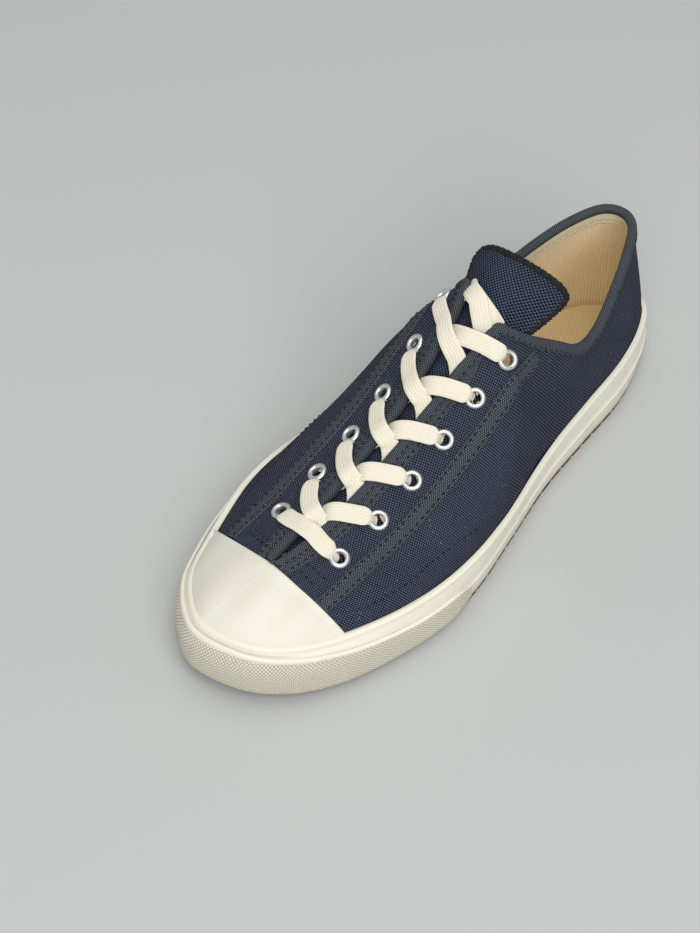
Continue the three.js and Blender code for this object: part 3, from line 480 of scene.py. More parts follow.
def down_the_wall(side, around):
    """The lengths from the top edge down each wall, and the shares of its height there."""
    ups = np.linspace(1, 0, 161)
    wall = skin(side[..., None], around[..., None], ups)
    steps = np.linalg.norm(np.diff(wall, axis=-2), axis=-1)
    return np.concatenate([np.zeros(side.shape + (1,)), np.cumsum(steps, axis=-1)], axis=-1), ups


def ups_from_edge(side, around, distances):
    """How far up the wall each distance from the top edge is, a row for each place round."""
    side, around = (np.atleast_1d(value) for value in arrays(side, around))
    passed, ups = down_the_wall(side, around)
    return np.array([np.interp(distances, row, ups) for row in passed])


def ring(count, crowding=0.04):
    """Places all the way round, heel to toe on the lateral side and back on the medial."""
    t = np.linspace(0, 1, count + 1)
    t = t - crowding * np.sin(2 * np.pi * t) - 0.015 * np.sin(4 * np.pi * t)
    side = np.concatenate([np.full(count + 1, LATERAL), np.full(count, MEDIAL)])
    return side.astype(float), np.concatenate([t, t[-2::-1]])


def lengths_along(points):
    steps = np.linalg.norm(np.diff(points, axis=0), axis=-1)
    return np.concatenate([[0], np.cumsum(steps)])


def cap_edge(side, around):
    """How far up the wall the toe cap's back edge is, 1 where the wall is all in front of it."""
    ups = np.linspace(0, 1, 201)
    side, around = (np.atleast_1d(value) for value in arrays(side, around))
    wall = skin(side[:, None], around[:, None], ups[None, :])
    aside = (wall[..., 0] - HEEL_AXIS - bend_at(TOE_CAP_EDGE) * BALL_WIDTH) / (BALL_WIDTH / 2)
    bow = np.where(aside < 0, TOE_CAP_BOW_MEDIAL, TOE_CAP_BOW)
    past = wall[..., 1] - lengthwise(TOE_CAP_EDGE) - bow * np.abs(aside) ** 3
    found = []
    for row in past:
        behind = np.nonzero(row > 0)[0]
        if not len(behind):
            found.append(1.0)
        elif behind[0] == 0:
            found.append(0.0)
        else:
            i = behind[0]
            found.append(np.interp(0, [row[i - 1], row[i]], [ups[i - 1], ups[i]]))
    return np.array(found)


# Building pieces

outsole_low, outsole_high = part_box("outsole")
OUTSOLE_INSET = 0.5
SHIFT = np.array([
    (outsole_low[0] + outsole_high[0]) / 2 / MM,
    outsole_high[1] / MM - (HEEL - OUTSOLE_INSET),
    0,
])


def lattice(rows, columns, wrap=False):
    """The faces of a grid of points. wrap joins its last column to its first."""
    i, j = np.meshgrid(np.arange(rows - 1), np.arange(columns if wrap else columns - 1), indexing="ij")
    after = (j + 1) % columns
    corners = [i * columns + j, i * columns + after, (i + 1) * columns + after, (i + 1) * columns + j]
    return np.stack(corners, -1).reshape(-1, 4)


def piece(name, points, faces, material, coords=None, replaces=(), facing=None):
    """A smooth mesh on the frame. coords are each point's place in the cloth, in millimetres."""
    points = np.asarray(points, float).reshape(-1, 3)
    faces = np.asarray(faces)
    if facing is not None:
        corners = points[faces[:, :3]]
        normals = np.cross(corners[:, 1] - corners[:, 0], corners[:, 2] - corners[:, 0])
        outwards = np.asarray(facing, float).reshape(-1, 3)[faces[:, 0]]
        if np.sum(normals * outwards) < 0:
            faces = faces[:, ::-1]
    mesh = bpy.data.meshes.new(name)
    mesh.from_pydata(((points + SHIFT) * MM).tolist(), [], faces.tolist())
    if coords is not None:
        cloth = mesh.attributes.new("cloth", "FLOAT_VECTOR", "POINT")
        cloth.data.foreach_set("vector", np.asarray(coords, float).reshape(-1, 3).ravel())
    mesh.materials.append(material)
    mesh.polygons.foreach_set("use_smooth", np.ones(len(mesh.polygons), bool))
    made = bpy.data.objects.new(name, mesh)
    bpy.context.scene.collection.objects.link(made)
    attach(made, "root")
    if replaces:
        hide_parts(*replaces)
    return made


def sheet(name, points, material, coords, replaces=(), facing=None):
    """A piece over a grid of points."""
    return piece(name, points, lattice(*points.shape[:2]), material, coords, replaces, facing)


def flat_coords(u, v):
    u, v = arrays(u, v)
    return np.stack([u, v, np.zeros(u.shape)], -1)


def swept(name, sections, material, replaces=(), coords=None, ends=True):
    """A closed solid from cross sections, each a closed loop of as many points."""
    sections = np.asarray(sections, float)
    rows, columns = sections.shape[:2]
    faces = lattice(rows, columns, wrap=True).tolist()
    if ends:
        middle = columns // 2
        for start in (0, (rows - 1) * columns):
            for k in range(middle - 1):
                quad = [start + k, start + k + 1, start + columns - 2 - k, start + columns - 1 - k]
                faces.append(quad if start else quad[::-1])
    centre = sections.mean(axis=1, keepdims=True)
    if coords is None:
        along = lengths_along(centre[:, 0])
        around = np.linalg.norm(np.diff(sections, axis=1, append=sections[:, :1]), axis=-1)
        coords = flat_coords(along[:, None], np.cumsum(around, axis=1) - around[:, :1])
    return piece(name, sections, faces, material, coords, replaces, facing=sections - centre)


# Materials


def linear(colour):
    """A hex colour as linear RGBA."""
    shares = [int(colour[i : i + 2], 16) / 255 for i in (0, 2, 4)]
    return tuple(c / 12.92 if c <= 0.04045 else ((c + 0.055) / 1.055) ** 2.4 for c in shares) + (1.0,)


class Shader:
    """A material's nodes, with short calls for the ones used here."""

    def __init__(self, name, roughness=0.8, **inputs):
        self.material = bpy.data.materials.new(name)
        self.material.use_nodes = True
        self.nodes = self.material.node_tree.nodes
        self.links = self.material.node_tree.links
        self.surface = self.nodes["Principled BSDF"]
        self.surface.inputs["Roughness"].default_value = roughness
        for socket, value in inputs.items():
            self.surface.inputs[socket.replace("_", " ")].default_value = value

    def node(self, kind, **settings):
        made = self.nodes.new(kind)
        for key, value in settings.items():
            setattr(made, key, value)
        return made

    def plug(self, value, socket):
        if isinstance(value, bpy.types.NodeSocket):
            self.links.new(value, socket)
        else:
            socket.default_value = value

    def math(self, operation, a, b=0.0, clamp=False):
        made = self.node("ShaderNodeMath", operation=operation, use_clamp=clamp)
        self.plug(a, made.inputs[0])
        self.plug(b, made.inputs[1])
        return made.outputs[0]

    def times(self, a, b):
        return self.math("MULTIPLY", a, b)

    def plus(self, a, b):
        return self.math("ADD", a, b)

    def cloth(self):
        """The two coordinates along the cloth, in millimetres."""
        attribute = self.node("ShaderNodeAttribute", attribute_name="cloth")
        split = self.node("ShaderNodeSeparateXYZ")
        self.links.new(attribute.outputs["Vector"], split.inputs[0])
        return split.outputs[0], split.outputs[1]

    def place(self, scale=(1000, 1000, 1000)):
        """The object's own coordinates in millimetres."""
        coords = self.node("ShaderNodeTexCoord")
        scaled = self.node("ShaderNodeVectorMath", operation="MULTIPLY")
        self.links.new(coords.outputs["Object"], scaled.inputs[0])
        scaled.inputs[1].default_value = scale
        return scaled.outputs[0]

    def noise(self, size, detail=3.0, vector=None, roughness=0.55):
        """Noise from 0 to 1 whose lumps are about size millimetres across."""
        made = self.node("ShaderNodeTexNoise")
        self.links.new(vector if vector is not None else self.place(), made.inputs["Vector"])
        made.inputs["Scale"].default_value = 1 / size
        made.inputs["Detail"].default_value = detail
        made.inputs["Roughness"].default_value = roughness
        return made.outputs["Fac"]

    def specks(self, size, share, vector=None):
        """1 in small scattered dots, 0 elsewhere."""
        made = self.node("ShaderNodeTexVoronoi")
        self.links.new(vector if vector is not None else self.place(), made.inputs["Vector"])
        made.inputs["Scale"].default_value = 1 / size
        return self.math("LESS_THAN", made.outputs["Distance"], share)

    def mix(self, share, a, b):
        made = self.node("ShaderNodeMix", data_type="RGBA")
        self.plug(share, made.inputs["Factor"])
        self.plug(a, made.inputs["A"])
        self.plug(b, made.inputs["B"])
        return made.outputs["Result"]

    def ramp(self, value, low, high):
        made = self.node("ShaderNodeMapRange", clamp=True)
        self.links.new(value, made.inputs["Value"])
        made.inputs["From Min"].default_value = low
        made.inputs["From Max"].default_value = high
        return made.outputs["Result"]

    def wave(self, coordinate, pitch, shift=0.0):
        """0 to 1 and back along a coordinate, once each pitch."""
        turns = self.times(coordinate, 2 * math.pi / pitch)
        swing = self.math("SINE", self.plus(turns, shift))
        return self.plus(self.times(swing, 0.5), 0.5)

    def bump(self, height, distance, strength=1.0, under=None):
        made = self.node("ShaderNodeBump")
        made.inputs["Strength"].default_value = strength
        made.inputs["Distance"].default_value = distance * MM
        self.links.new(height, made.inputs["Height"])
        if under is not None:
            self.links.new(under, made.inputs["Normal"])
        return made.outputs["Normal"]

    def finish(self, colour, normal=None, roughness=None):
        self.plug(colour, self.surface.inputs["Base Color"])
        if normal is not None:
            self.links.new(normal, self.surface.inputs["Normal"])
        if roughness is not None:
            self.links.new(roughness, self.surface.inputs["Roughness"])
        return self.material


def woven(shader, across, along):
    """The height of a plain weave: threads that show as dots, each row half a dot on."""
    u, v = shader.cloth()
    row = shader.math("FLOOR", shader.math("DIVIDE", v, along))
    half = shader.times(shader.math("MODULO", shader.math("ABSOLUTE", row), 2.0), 0.5)
    turn_u = shader.math("FRACT", shader.plus(shader.math("DIVIDE", u, across), half))
    turn_v = shader.math("FRACT", shader.math("DIVIDE", v, along))
    dots = [shader.math("SINE", shader.times(turn, math.pi)) for turn in (turn_u, turn_v)]
    return shader.times(*dots)


def canvas(name, deep, light, fleck, across=1.4, along=0.8):
    shader = Shader(name, roughness=0.95, Specular_IOR_Level=0.08)
    threads = woven(shader, across, along)
    uneven = shader.noise(0.9, 2.0)
    height = shader.times(threads, shader.plus(uneven, 0.5))
    tone = shader.mix(shader.ramp(height, 0.2, 0.95), linear(deep), linear(light))
    lint = shader.times(shader.specks(2.6, 0.09), shader.ramp(shader.noise(9.0), 0.5, 0.62))
    faded = shader.mix(shader.ramp(shader.noise(24.0, 4.0), 0.3, 0.8), (0, 0, 0, 1), (1, 1, 1, 1))
    toned = shader.node("ShaderNodeMix", data_type="RGBA", blend_type="OVERLAY")
    toned.inputs["Factor"].default_value = 0.12
    shader.plug(tone, toned.inputs["A"])
    shader.plug(faded, toned.inputs["B"])
    colour = shader.mix(shader.times(lint, 0.6), toned.outputs["Result"], linear(fleck))
    normal = shader.bump(height, 0.28)
    return shader.finish(colour, shader.bump(shader.noise(14.0), 0.5, 0.5, under=normal))


def ribbed_tape(name, deep, light):
    """Cotton tape with fine ribs across it."""
    shader = Shader(name, roughness=0.9, Specular_IOR_Level=0.12)
    u, v = shader.cloth()
    slant = shader.plus(v, shader.times(u, 0.8))
    ribs = shader.times(shader.wave(u, 0.9), shader.wave(slant, 1.1))
    height = shader.times(ribs, shader.plus(shader.noise(0.8, 2.0), 0.4))
    colour = shader.mix(shader.ramp(height, 0.05, 0.7), linear(deep), linear(light))
    return shader.finish(colour, shader.bump(height, 0.18))


def rubber(name, clean, shaded, roughness=0.42, streaks=0.0):
    shader = Shader(name, roughness=roughness, Subsurface_Weight=0.08, Subsurface_Scale=0.004)
    shader.surface.inputs["Subsurface Radius"].default_value = (1.0, 0.8, 0.5)
    tone = shader.ramp(shader.noise(30.0, 4.0), 0.35, 0.75)
    colour = shader.mix(shader.times(tone, 0.6), linear(clean), linear(shaded))
    grime = shader.times(shader.specks(3.2, 0.05), shader.ramp(shader.noise(12.0), 0.55, 0.65))
    colour = shader.mix(shader.times(grime, 0.3), colour, linear("a09880"))
    normal = shader.bump(shader.noise(2.2, 4.0), 0.05, 0.6)
    if streaks:
        band = shader.noise(11.0, 3.0, vector=shader.place((1000, 160, 400)))
        normal = shader.bump(band, streaks, 0.7, under=normal)
        colour = shader.mix(shader.times(shader.ramp(band, 0.45, 0.7), 0.5), colour, linear("dcd6c3"))
    return shader.finish(colour, normal, shader.plus(shader.times(tone, 0.1), roughness))


def hatched_rubber_painted_shade(name, clean, shaded, pitch=1.7, depth=0.42):
    """Rubber moulded with a fine diamond grid, with painted shade in its grooves."""
    shader = Shader(name, roughness=0.5, Subsurface_Weight=0.08, Subsurface_Scale=0.004)
    u, v = shader.cloth()
    lines = []
    for slope in (1.1, -1.1):
        run = shader.plus(u, shader.times(v, slope))
        lines.append(shader.math("POWER", shader.wave(run, pitch), 2.5))
    grid = shader.math("MAXIMUM", *lines)
    height = shader.math("SUBTRACT", 1.0, grid)
    # Painted shade: the grid's grooves are coloured towards the shaded colour.
    colour = shader.mix(shader.times(grid, 0.8), linear(clean), linear(shaded))
    return shader.finish(colour, shader.bump(height, depth))


def tread_rubber(name, deep, light):
    shader = Shader(name, roughness=0.6)
    tone = shader.ramp(shader.noise(8.0, 4.0), 0.3, 0.7)
    colour = shader.mix(tone, linear(deep), linear(light))
    return shader.finish(colour, shader.bump(shader.noise(1.0, 3.0), 0.12))


def ribbed_lining(name, deep, light):
    """Lining cloth with rows of fine dots that run up the wall."""
    shader = Shader(name, roughness=0.95, Sheen_Weight=0.2, Sheen_Roughness=0.6, Specular_IOR_Level=0.15)
    u, v = shader.cloth()
    rows = shader.wave(u, 1.5)
    height = shader.times(rows, shader.plus(shader.times(shader.wave(v, 1.1), 0.5), 0.5))
    colour = shader.mix(shader.ramp(height, 0.1, 0.8), linear(deep), linear(light))
    return shader.finish(colour, shader.bump(height, 0.22))


def lace_cotton(name, clean, shaded):
    """Flat woven lace: lengthwise ribs of slanting threads."""
    shader = Shader(name, roughness=0.9, Sheen_Weight=0.3, Sheen_Roughness=0.5, Specular_IOR_Level=0.2)
    u, v = shader.cloth()
    slant = shader.plus(u, shader.times(shader.math("PINGPONG", v, 0.6), 1.3))
    threads = shader.wave(slant, 0.75)
    fuzz = shader.noise(0.5, 3.0)
    height = shader.plus(shader.times(threads, 0.7), shader.times(fuzz, 0.6))
    colour = shader.mix(shader.ramp(height, 0.1, 0.95), linear(shaded), linear(clean))
    return shader.finish(colour, shader.bump(height, 0.12, 0.8))


def thread(name, colour, light):
    shader = Shader(name, roughness=0.7, Specular_IOR_Level=0.4)
    twist = shader.noise(0.4, 2.0)
    return shader.finish(shader.mix(twist, linear(colour), linear(light)), shader.bump(twist, 0.08))


def eyelet_metal(name, clean, dull):
    shader = Shader(name, roughness=0.3, Metallic=0.85)
    tone = shader.noise(1.4, 3.0)
    rough = shader.plus(shader.times(tone, 0.15), 0.22)
    return shader.finish(shader.mix(tone, linear(clean), linear(dull)), shader.bump(tone, 0.02, 0.5), rough)


def floor_paper(name, colour):
    shader = Shader(name, roughness=0.95, Specular_IOR_Level=0.1)
    tone = shader.noise(400.0, 2.0)
    return shader.finish(shader.mix(shader.times(tone, 0.05), linear(colour), linear("b4b5b4")))


navy = canvas("navy_canvas", "0c101b", "666d80", "b9bdc5")
tongue_navy = canvas("tongue_canvas", "0c101b", "5d667c", "9aa0aa", across=1.6, along=0.85)
charcoal = ribbed_tape("charcoal_tape", "262b30", "727981")
cream = rubber("cream_rubber", "ede9d9", "e3deca", roughness=0.5)
# Painted shade: the toe cap's rubber is a darker copy of the cream rubber, to tone down the light falling on
# the cap's top.
cap_cream_painted_shade = rubber("cap_rubber_painted_shade", "e6e3d6", "dfdbcb", roughness=0.5, streaks=0.35)
# Painted light and shade: the bumper's clean colour is lighter than the foxing's cream to light its sideways
# face, and its grooves carry painted shade.
hatched = hatched_rubber_painted_shade("hatched_rubber_painted_shade", "fbf6e4", "bdb496")
brown = tread_rubber("tread_rubber", "4f3018", "7a4e2b")
lining_cloth = ribbed_lining("lining_cloth", "ecd09a", "fff2cf")
insole_cloth = canvas("insole_canvas", "e8cd98", "fff0ca", "fff6e0", across=2.2, along=1.1)
collar_cotton = ribbed_tape("collar_cotton", "e2d6b6", "faf3de")
lace_white = lace_cotton("lace_cotton", "f8f3e2", "d6cdb2")
black_thread = thread("black_thread", "050608", "14161a")
cream_thread = thread("cream_thread", "c9bd9c", "efe6cd")
silver = eyelet_metal("eyelet_silver", "f2f3f2", "d2d5d6")
shadow_gray = floor_paper("floor_gray", "c2c4c3")


# The upper


def eyelet_places():
    """Every eyelet's place on the upper, with the vents."""
    rounds = np.linspace(1, THROAT_TOP, 261)
    along = lengths_along(top_edge(np.full(261, LATERAL), rounds))
    goals = EYELET_START + EYELET_PITCH * np.arange(EYELET_COUNT)
    around = np.interp(goals, along, rounds)
    places = {}
    for side, word in ((LATERAL, "lateral"), (MEDIAL, "medial")):
        ups = ups_from_edge(np.full(EYELET_COUNT, side), around, [EYELET_INSET])[:, 0]
        for i in range(EYELET_COUNT):
            places[f"eyelet_{word}_{i + 1}"] = (side, around[i], ups[i])
    for i, place in enumerate(VENT_PLACES):
        height = foxing_at["top"](place) + VENT_ABOVE_FOXING
        up = up_to_height(np.array([MEDIAL]), np.array([place]), height)[0]
        places[f"vent_{i + 1}"] = (MEDIAL, place, up)
    return places


EYELETS = eyelet_places()


def clear_of_holes(points, faces, radius):
    """The faces that are outside every eyelet's barrel."""
    centres = points.reshape(-1, 3)[faces].mean(axis=1)
    keep = np.ones(len(faces), bool)
    for side, around, up in EYELETS.values():
        axis = skin_normal(side, around, up)
        away = centres - skin(side, around, up)
        depth = away @ axis
        gap = np.linalg.norm(away - depth[:, None] * axis, axis=1)
        keep &= (gap > radius) | (np.abs(depth) > 6)
    return faces[keep]


def wall_coords(side, around, up):
    """Each place's way round the shoe and up its wall, in millimetres."""
    middle = skin(side, around, np.full(len(side), 0.55))
    run = lengths_along(middle)
    shares = np.linspace(0, 1, 41)
    wall = skin(side[:, None], around[:, None], shares[None, :])
    steps = np.linalg.norm(np.diff(wall, axis=1), axis=2)
    climb = np.concatenate([np.zeros((len(side), 1)), np.cumsum(steps, axis=1)], axis=1)
    climbs = np.array([np.interp(up, shares, row) for row in climb])
    return flat_coords(run[:, None], climbs)


def upper_sheet(name, columns, rows, away, material, replaces=()):
    side, around = ring(columns)
    up = np.linspace(0, 1, rows)
    points = off_skin(side[:, None], around[:, None], up[None, :], away)
    faces = clear_of_holes(points, lattice(*points.shape[:2]), BARREL_RADIUS + 0.2)
    normals = skin_normal(side[:, None], around[:, None], up[None, :]) * (1 if away >= 0 else -1)
    coords = wall_coords(side, around, up)
    return piece(name, points, faces, material, coords, replaces, facing=normals)


upper_sheet("upper_canvas", 230, 68, 0.0, navy, replaces=["upper"])
upper_sheet("upper_lining", 170, 46, -UPPER_WALL, lining_cloth)


def tape(name, side, around, ups, profile, material, replaces=()):
    """A tape on the cloth. ups are the places of its cross rows up the wall, from edge to
    edge, and profile is how far each stands off the cloth."""
    side, around, _ = arrays(side[:, None], around if np.ndim(around) == 2 else around[:, None], ups)
    outer = off_skin(side, around, ups, np.asarray(profile)[None, :])
    inner = off_skin(side, around, ups, 0.05)
    sections = np.concatenate([outer, inner[:, ::-1]], axis=1)
    return swept(name, sections, material, replaces)


def across_path(side, around, ups, offsets):
    """Places at offsets in millimetres to each side of a path on the cloth, square to it."""
    side, around, ups = arrays(side, around, ups)
    step = 0.004
    here = skin(side, around, ups)
    run = (skin(side, around + step, ups) - skin(side, around - step, ups)) / (2 * step)
    climb = (skin(side, around, ups + step) - skin(side, around, ups - step)) / (2 * step)
    square = unit(np.cross(skin_normal(side, around, ups), np.gradient(here, axis=0)))
    square = square * np.sign(np.sum(square * climb, axis=-1, keepdims=True))
    a, b, c, d, e = (
        np.sum(one * other, axis=-1)
        for one, other in ((run, run), (run, climb), (climb, climb), (run, square), (climb, square))
    )
    turn = ((c * d - b * e) / (a * c - b * b))[:, None]
    rise = ((a * e - b * d) / (a * c - b * b))[:, None]
    offsets = np.asarray(offsets, float)[None, :]
    return around[:, None] + turn * offsets, np.clip(ups[:, None] + rise * offsets, 0, 1)


STITCH = {"length": 2.3, "gap": 1.2, "radius": 0.38}


def stitches(name, lines, material, stitch=STITCH, replaces=()):
    """Rows of dashed stitches. Each line is points with the way out of the cloth at each."""
    points, faces, coords = [], [], []
    sides, rings = 6, 5
    for line, normals in lines:
        along = lengths_along(line)
        pitch = stitch["length"] + stitch["gap"]
        for start in np.arange(0.4, along[-1] - stitch["length"], pitch):
            ways = start + stitch["length"] * np.linspace(0, 1, rings)
            spine = np.stack([np.interp(ways, along, line[:, k]) for k in range(3)], -1)
            out = unit(np.stack([np.interp(ways, along, normals[:, k]) for k in range(3)], -1))
            run = unit(np.gradient(spine, axis=0))
            across = unit(np.cross(run, out))
            arch = np.sin(np.pi * np.linspace(0, 1, rings))
            girth = stitch["radius"] * (0.45 + 0.55 * arch)
            spine = spine + out * (stitch["radius"] * (1.1 * arch - 0.85))[:, None]
            turn = 2 * np.pi * np.arange(sides) / sides
            circle = across[:, None] * np.cos(turn)[None, :, None]
            circle = circle + out[:, None] * np.sin(turn)[None, :, None]
            base = len(points) * sides * rings
            points.append(spine[:, None] + circle * girth[:, None, None])
            faces.append(lattice(rings, sides, wrap=True) + base)
            coords.append(flat_coords(ways[:, None], 0.3 * turn[None, :]))
    points, faces, coords = (np.concatenate(each) for each in (points, faces, coords))
    return piece(name, points, faces, material, coords, replaces)


def surface_line(side, around, ups, away):
    """A line on the cloth with the way out of it."""
    side, around = arrays(side, around)
    return off_skin(side, around, ups, away), skin_normal(side, around, ups)


def seam_tapes():
    middle = curve(TAPE_PATH, "round", "up")
    around = np.linspace(TAPE_PATH[0]["round"], TAPE_PATH[-1]["round"], 150)
    half = TAPE_WIDTH / 2
    outer = [half - 0.5, half - 0.15, half]
    offsets = [-half, -half + 0.15, -half + 0.5, -2.6, -2.1, -1, 0, 1, 2.1, 2.6] + outer
    profile = [0.1, 0.6, 0.85, 0.85, 0.7, 0.8, 0.85, 0.8, 0.7, 0.85, 0.85, 0.6, 0.1]
    rows = []
    for side, word in ((LATERAL, "lateral"), (MEDIAL, "medial")):
        sides = np.full(len(around), side)
        places, ups = across_path(sides, around, middle(around), offsets)
        name = f"seam_tape_{word}"
        tape(f"{name}_cloth", sides, places, ups, profile, charcoal, replaces=[name])
        for offset in (-2.35, 2.35):
            line, line_ups = across_path(sides, around, middle(around), [offset])
            rows.append(surface_line(sides, line[:, 0], line_ups[:, 0], 0.82))
    stitches("seam_tape_stitches", rows, black_thread)


seam_tapes()


def vamp_seam():
    """The dashed line below each seam tape, and the short one beside the toe cap."""
    middle = curve(VAMP_SEAM, "round", "up")
    around = np.linspace(VAMP_SEAM[0]["round"], VAMP_SEAM[-1]["round"], 90)
    rows = [surface_line(np.full(90, side), around, middle(around), 0.12) for side in (LATERAL, MEDIAL)]
    for seam in CAP_SEAMS:
        places = [seam["round"], seam["next_round"], seam["last_round"]]
        ups = [seam["up"], seam["next_up"], seam["last_up"]]
        line = catmull_rom(list(zip(places, ups)), 12)
        rows.append(surface_line(np.full(len(line), seam["side"]), line[:, 0], line[:, 1], 0.12))
    stitches("vamp_stitches", rows, black_thread, {"length": 1.7, "gap": 1.4, "radius": 0.38})


vamp_seam()


def folded_binding():
    """The tape folded over the top line and both edges of the throat."""
    side, around = ring(300)
    cap = cap_edge(side, around)
    downs = [BINDING_WIDTH, BINDING_WIDTH - 0.1, BINDING_WIDTH - 0.5, 3.7, 3.3, 2.6, 1.4, 0.5]
    lifts = [0.15, 0.75, 1.05, 1.0, 0.85, 1.1, 1.2, 1.2]
    ups = ups_from_edge(side, around, downs)
    room = np.clip(cap + 0.012, 0, 0.985)[:, None]
    near_toe = (around > 0.6)[:, None]
    ups = np.where(near_toe, np.maximum(ups, room), ups)
    outer = off_skin(side[:, None], around[:, None], ups, np.array(lifts)[None, :])
    edge = off_skin(side, around, np.ones(len(side)), 0.0)
    over = unit(edge - off_skin(side, around, np.full(len(side), 0.98), 0.0))
    normal = skin_normal(side, around, np.ones(len(side)))
    turns = np.linspace(0, np.pi, 9)
    radius = UPPER_WALL / 2 + 1.2
    arc = edge[:, None] - normal[:, None] * UPPER_WALL / 2
    arc = arc + normal[:, None] * (radius * np.cos(turns))[None, :, None]
    arc = arc + over[:, None] * (1.3 * np.sin(turns))[None, :, None]
    insides = ups_from_edge(side, around, [0.6, 1.4, BINDING_INSIDE, BINDING_INSIDE])
    depths = -UPPER_WALL - np.array([1.15, 1.1, 0.9, 0.2])[None, :]
    inner = off_skin(side[:, None], around[:, None], insides, depths)
    profile = np.concatenate([outer, arc, inner], axis=1)
    run = lengths_along(edge)
    width = np.cumsum(np.linalg.norm(np.diff(profile, axis=1, prepend=profile[:, :1]), axis=-1), axis=1)
    facing = profile - (edge - normal * UPPER_WALL / 2 - over * 2)[:, None]
    sheet("binding_tape", profile, charcoal, flat_coords(run[:, None], width),
          replaces=["collar_binding"], facing=facing)
    heel_to_throat = around < 0.93
    lines = []
    for one in (LATERAL, MEDIAL):
        here = heel_to_throat & (side == one)
        line_ups = ups_from_edge(side[here], around[here], [3.5])[:, 0]
        lines.append(surface_line(side[here], around[here], line_ups, 0.92))
    stitches("binding_stitches", lines, black_thread, {"length": 2.1, "gap": 1.2, "radius": 0.38})


folded_binding()


def throat_facing(side, word):
    """The second tape beside the binding, down the throat's edge to the toe cap."""
    around = np.linspace(0.512, 0.985, 150)
    sides = np.full(len(around), side)
    downs = np.array([8.6, 8.45, 8.0, 7.2, 6.7, 6.0, 5.0, 4.2])
    ups = ups_from_edge(sides, around, downs)
    cap = cap_edge(sides, around)
    ups = np.maximum(ups, np.clip(cap - 0.03, 0, 1)[:, None])
    fade = smoothstep(around, 0.512, 0.55)[:, None]
    ups = ups * fade + ups[:, -1:] * (1 - fade)
    profile = np.array([0.05, 0.4, 0.55, 0.45, 0.45, 0.55, 0.55, 0.5])
    tape(f"throat_tape_{word}", sides, around, ups, profile, charcoal)
    keep = (around > 0.55) & (around < 0.93)
    line_ups = ups_from_edge(sides[keep], around[keep], [7.0])[:, 0]
    return surface_line(sides[keep], around[keep], line_ups, 0.5)


throat_lines = [throat_facing(LATERAL, "lateral"), throat_facing(MEDIAL, "medial")]
stitches("throat_stitches", throat_lines, black_thread)


def heel_backstay():
    steps = 60
    half_share = BACKSTAY_WIDTH / 2 / outline[LATERAL][1][-1]
    low = up_to_height(np.array([1.0]), np.array([0.0]), foxing_at["top"](0) - 2)[0]
    high = ups_from_edge([LATERAL], [0.0], [BINDING_WIDTH - 0.8])[0, 0]
    up = np.linspace(low, high, steps)
    shares = np.array([-1, -0.985, -0.94, -0.75, -0.7, -0.4, 0, 0.4, 0.7, 0.75, 0.94, 0.985, 1])
    lifts = np.array([0.1, 0.6, 0.85, 0.85, 0.7, 0.85, 0.9, 0.85, 0.7, 0.85, 0.85, 0.6, 0.1])
    side = np.where(shares < 0, MEDIAL, LATERAL)
    outer = off_skin(side[None, :], np.abs(shares)[None, :] * half_share, up[:, None], lifts[None, :])
    inner = off_skin(side[None, :], np.abs(shares)[None, :] * half_share, up[:, None], 0.05)
    swept("backstay_tape", np.concatenate([outer, inner[:, ::-1]], axis=1), charcoal, ["backstay"])
    rows = []
    for share in (-0.72, 0.72):
        one = np.full(steps, MEDIAL if share < 0 else LATERAL)
        rows.append(surface_line(one, np.full(steps, abs(share) * half_share), up, 0.8))
    stitches("backstay_stitches", rows, black_thread)


heel_backstay()


def collar_lining():
    """The cream tape inside the top line, from one side of the ankle round the heel."""
    around = np.linspace(-0.455, 0.455, 260)
    side = np.where(around < 0, MEDIAL, LATERAL)
    places = np.abs(around)
    downs = [1.2, 2.4, 5.0, 7.2, 8.2, 8.8, 9.4, 9.6]
    lifts = np.array([0.5, 0.6, 0.7, 0.75, 0.4, 0.75, 0.55, 0.0])
    ups = ups_from_edge(side, places, downs)
    cloth = off_skin(side[:, None], places[:, None], ups, -UPPER_WALL - lifts[None, :])
    run = lengths_along(cloth[:, 0])
    facing = -skin_normal(side[:, None], places[:, None], ups)
    sheet("collar_lining", cloth, collar_cotton,
          flat_coords(run[:, None], np.array(downs)[None, :]), facing=facing)
    line_ups = ups_from_edge(side, places, [8.2])[:, 0]
    line = off_skin(side, places, line_ups, -UPPER_WALL - 0.45)
    stitches("collar_stitches", [(line, -skin_normal(side, places, line_ups))], cream_thread)


collar_lining()


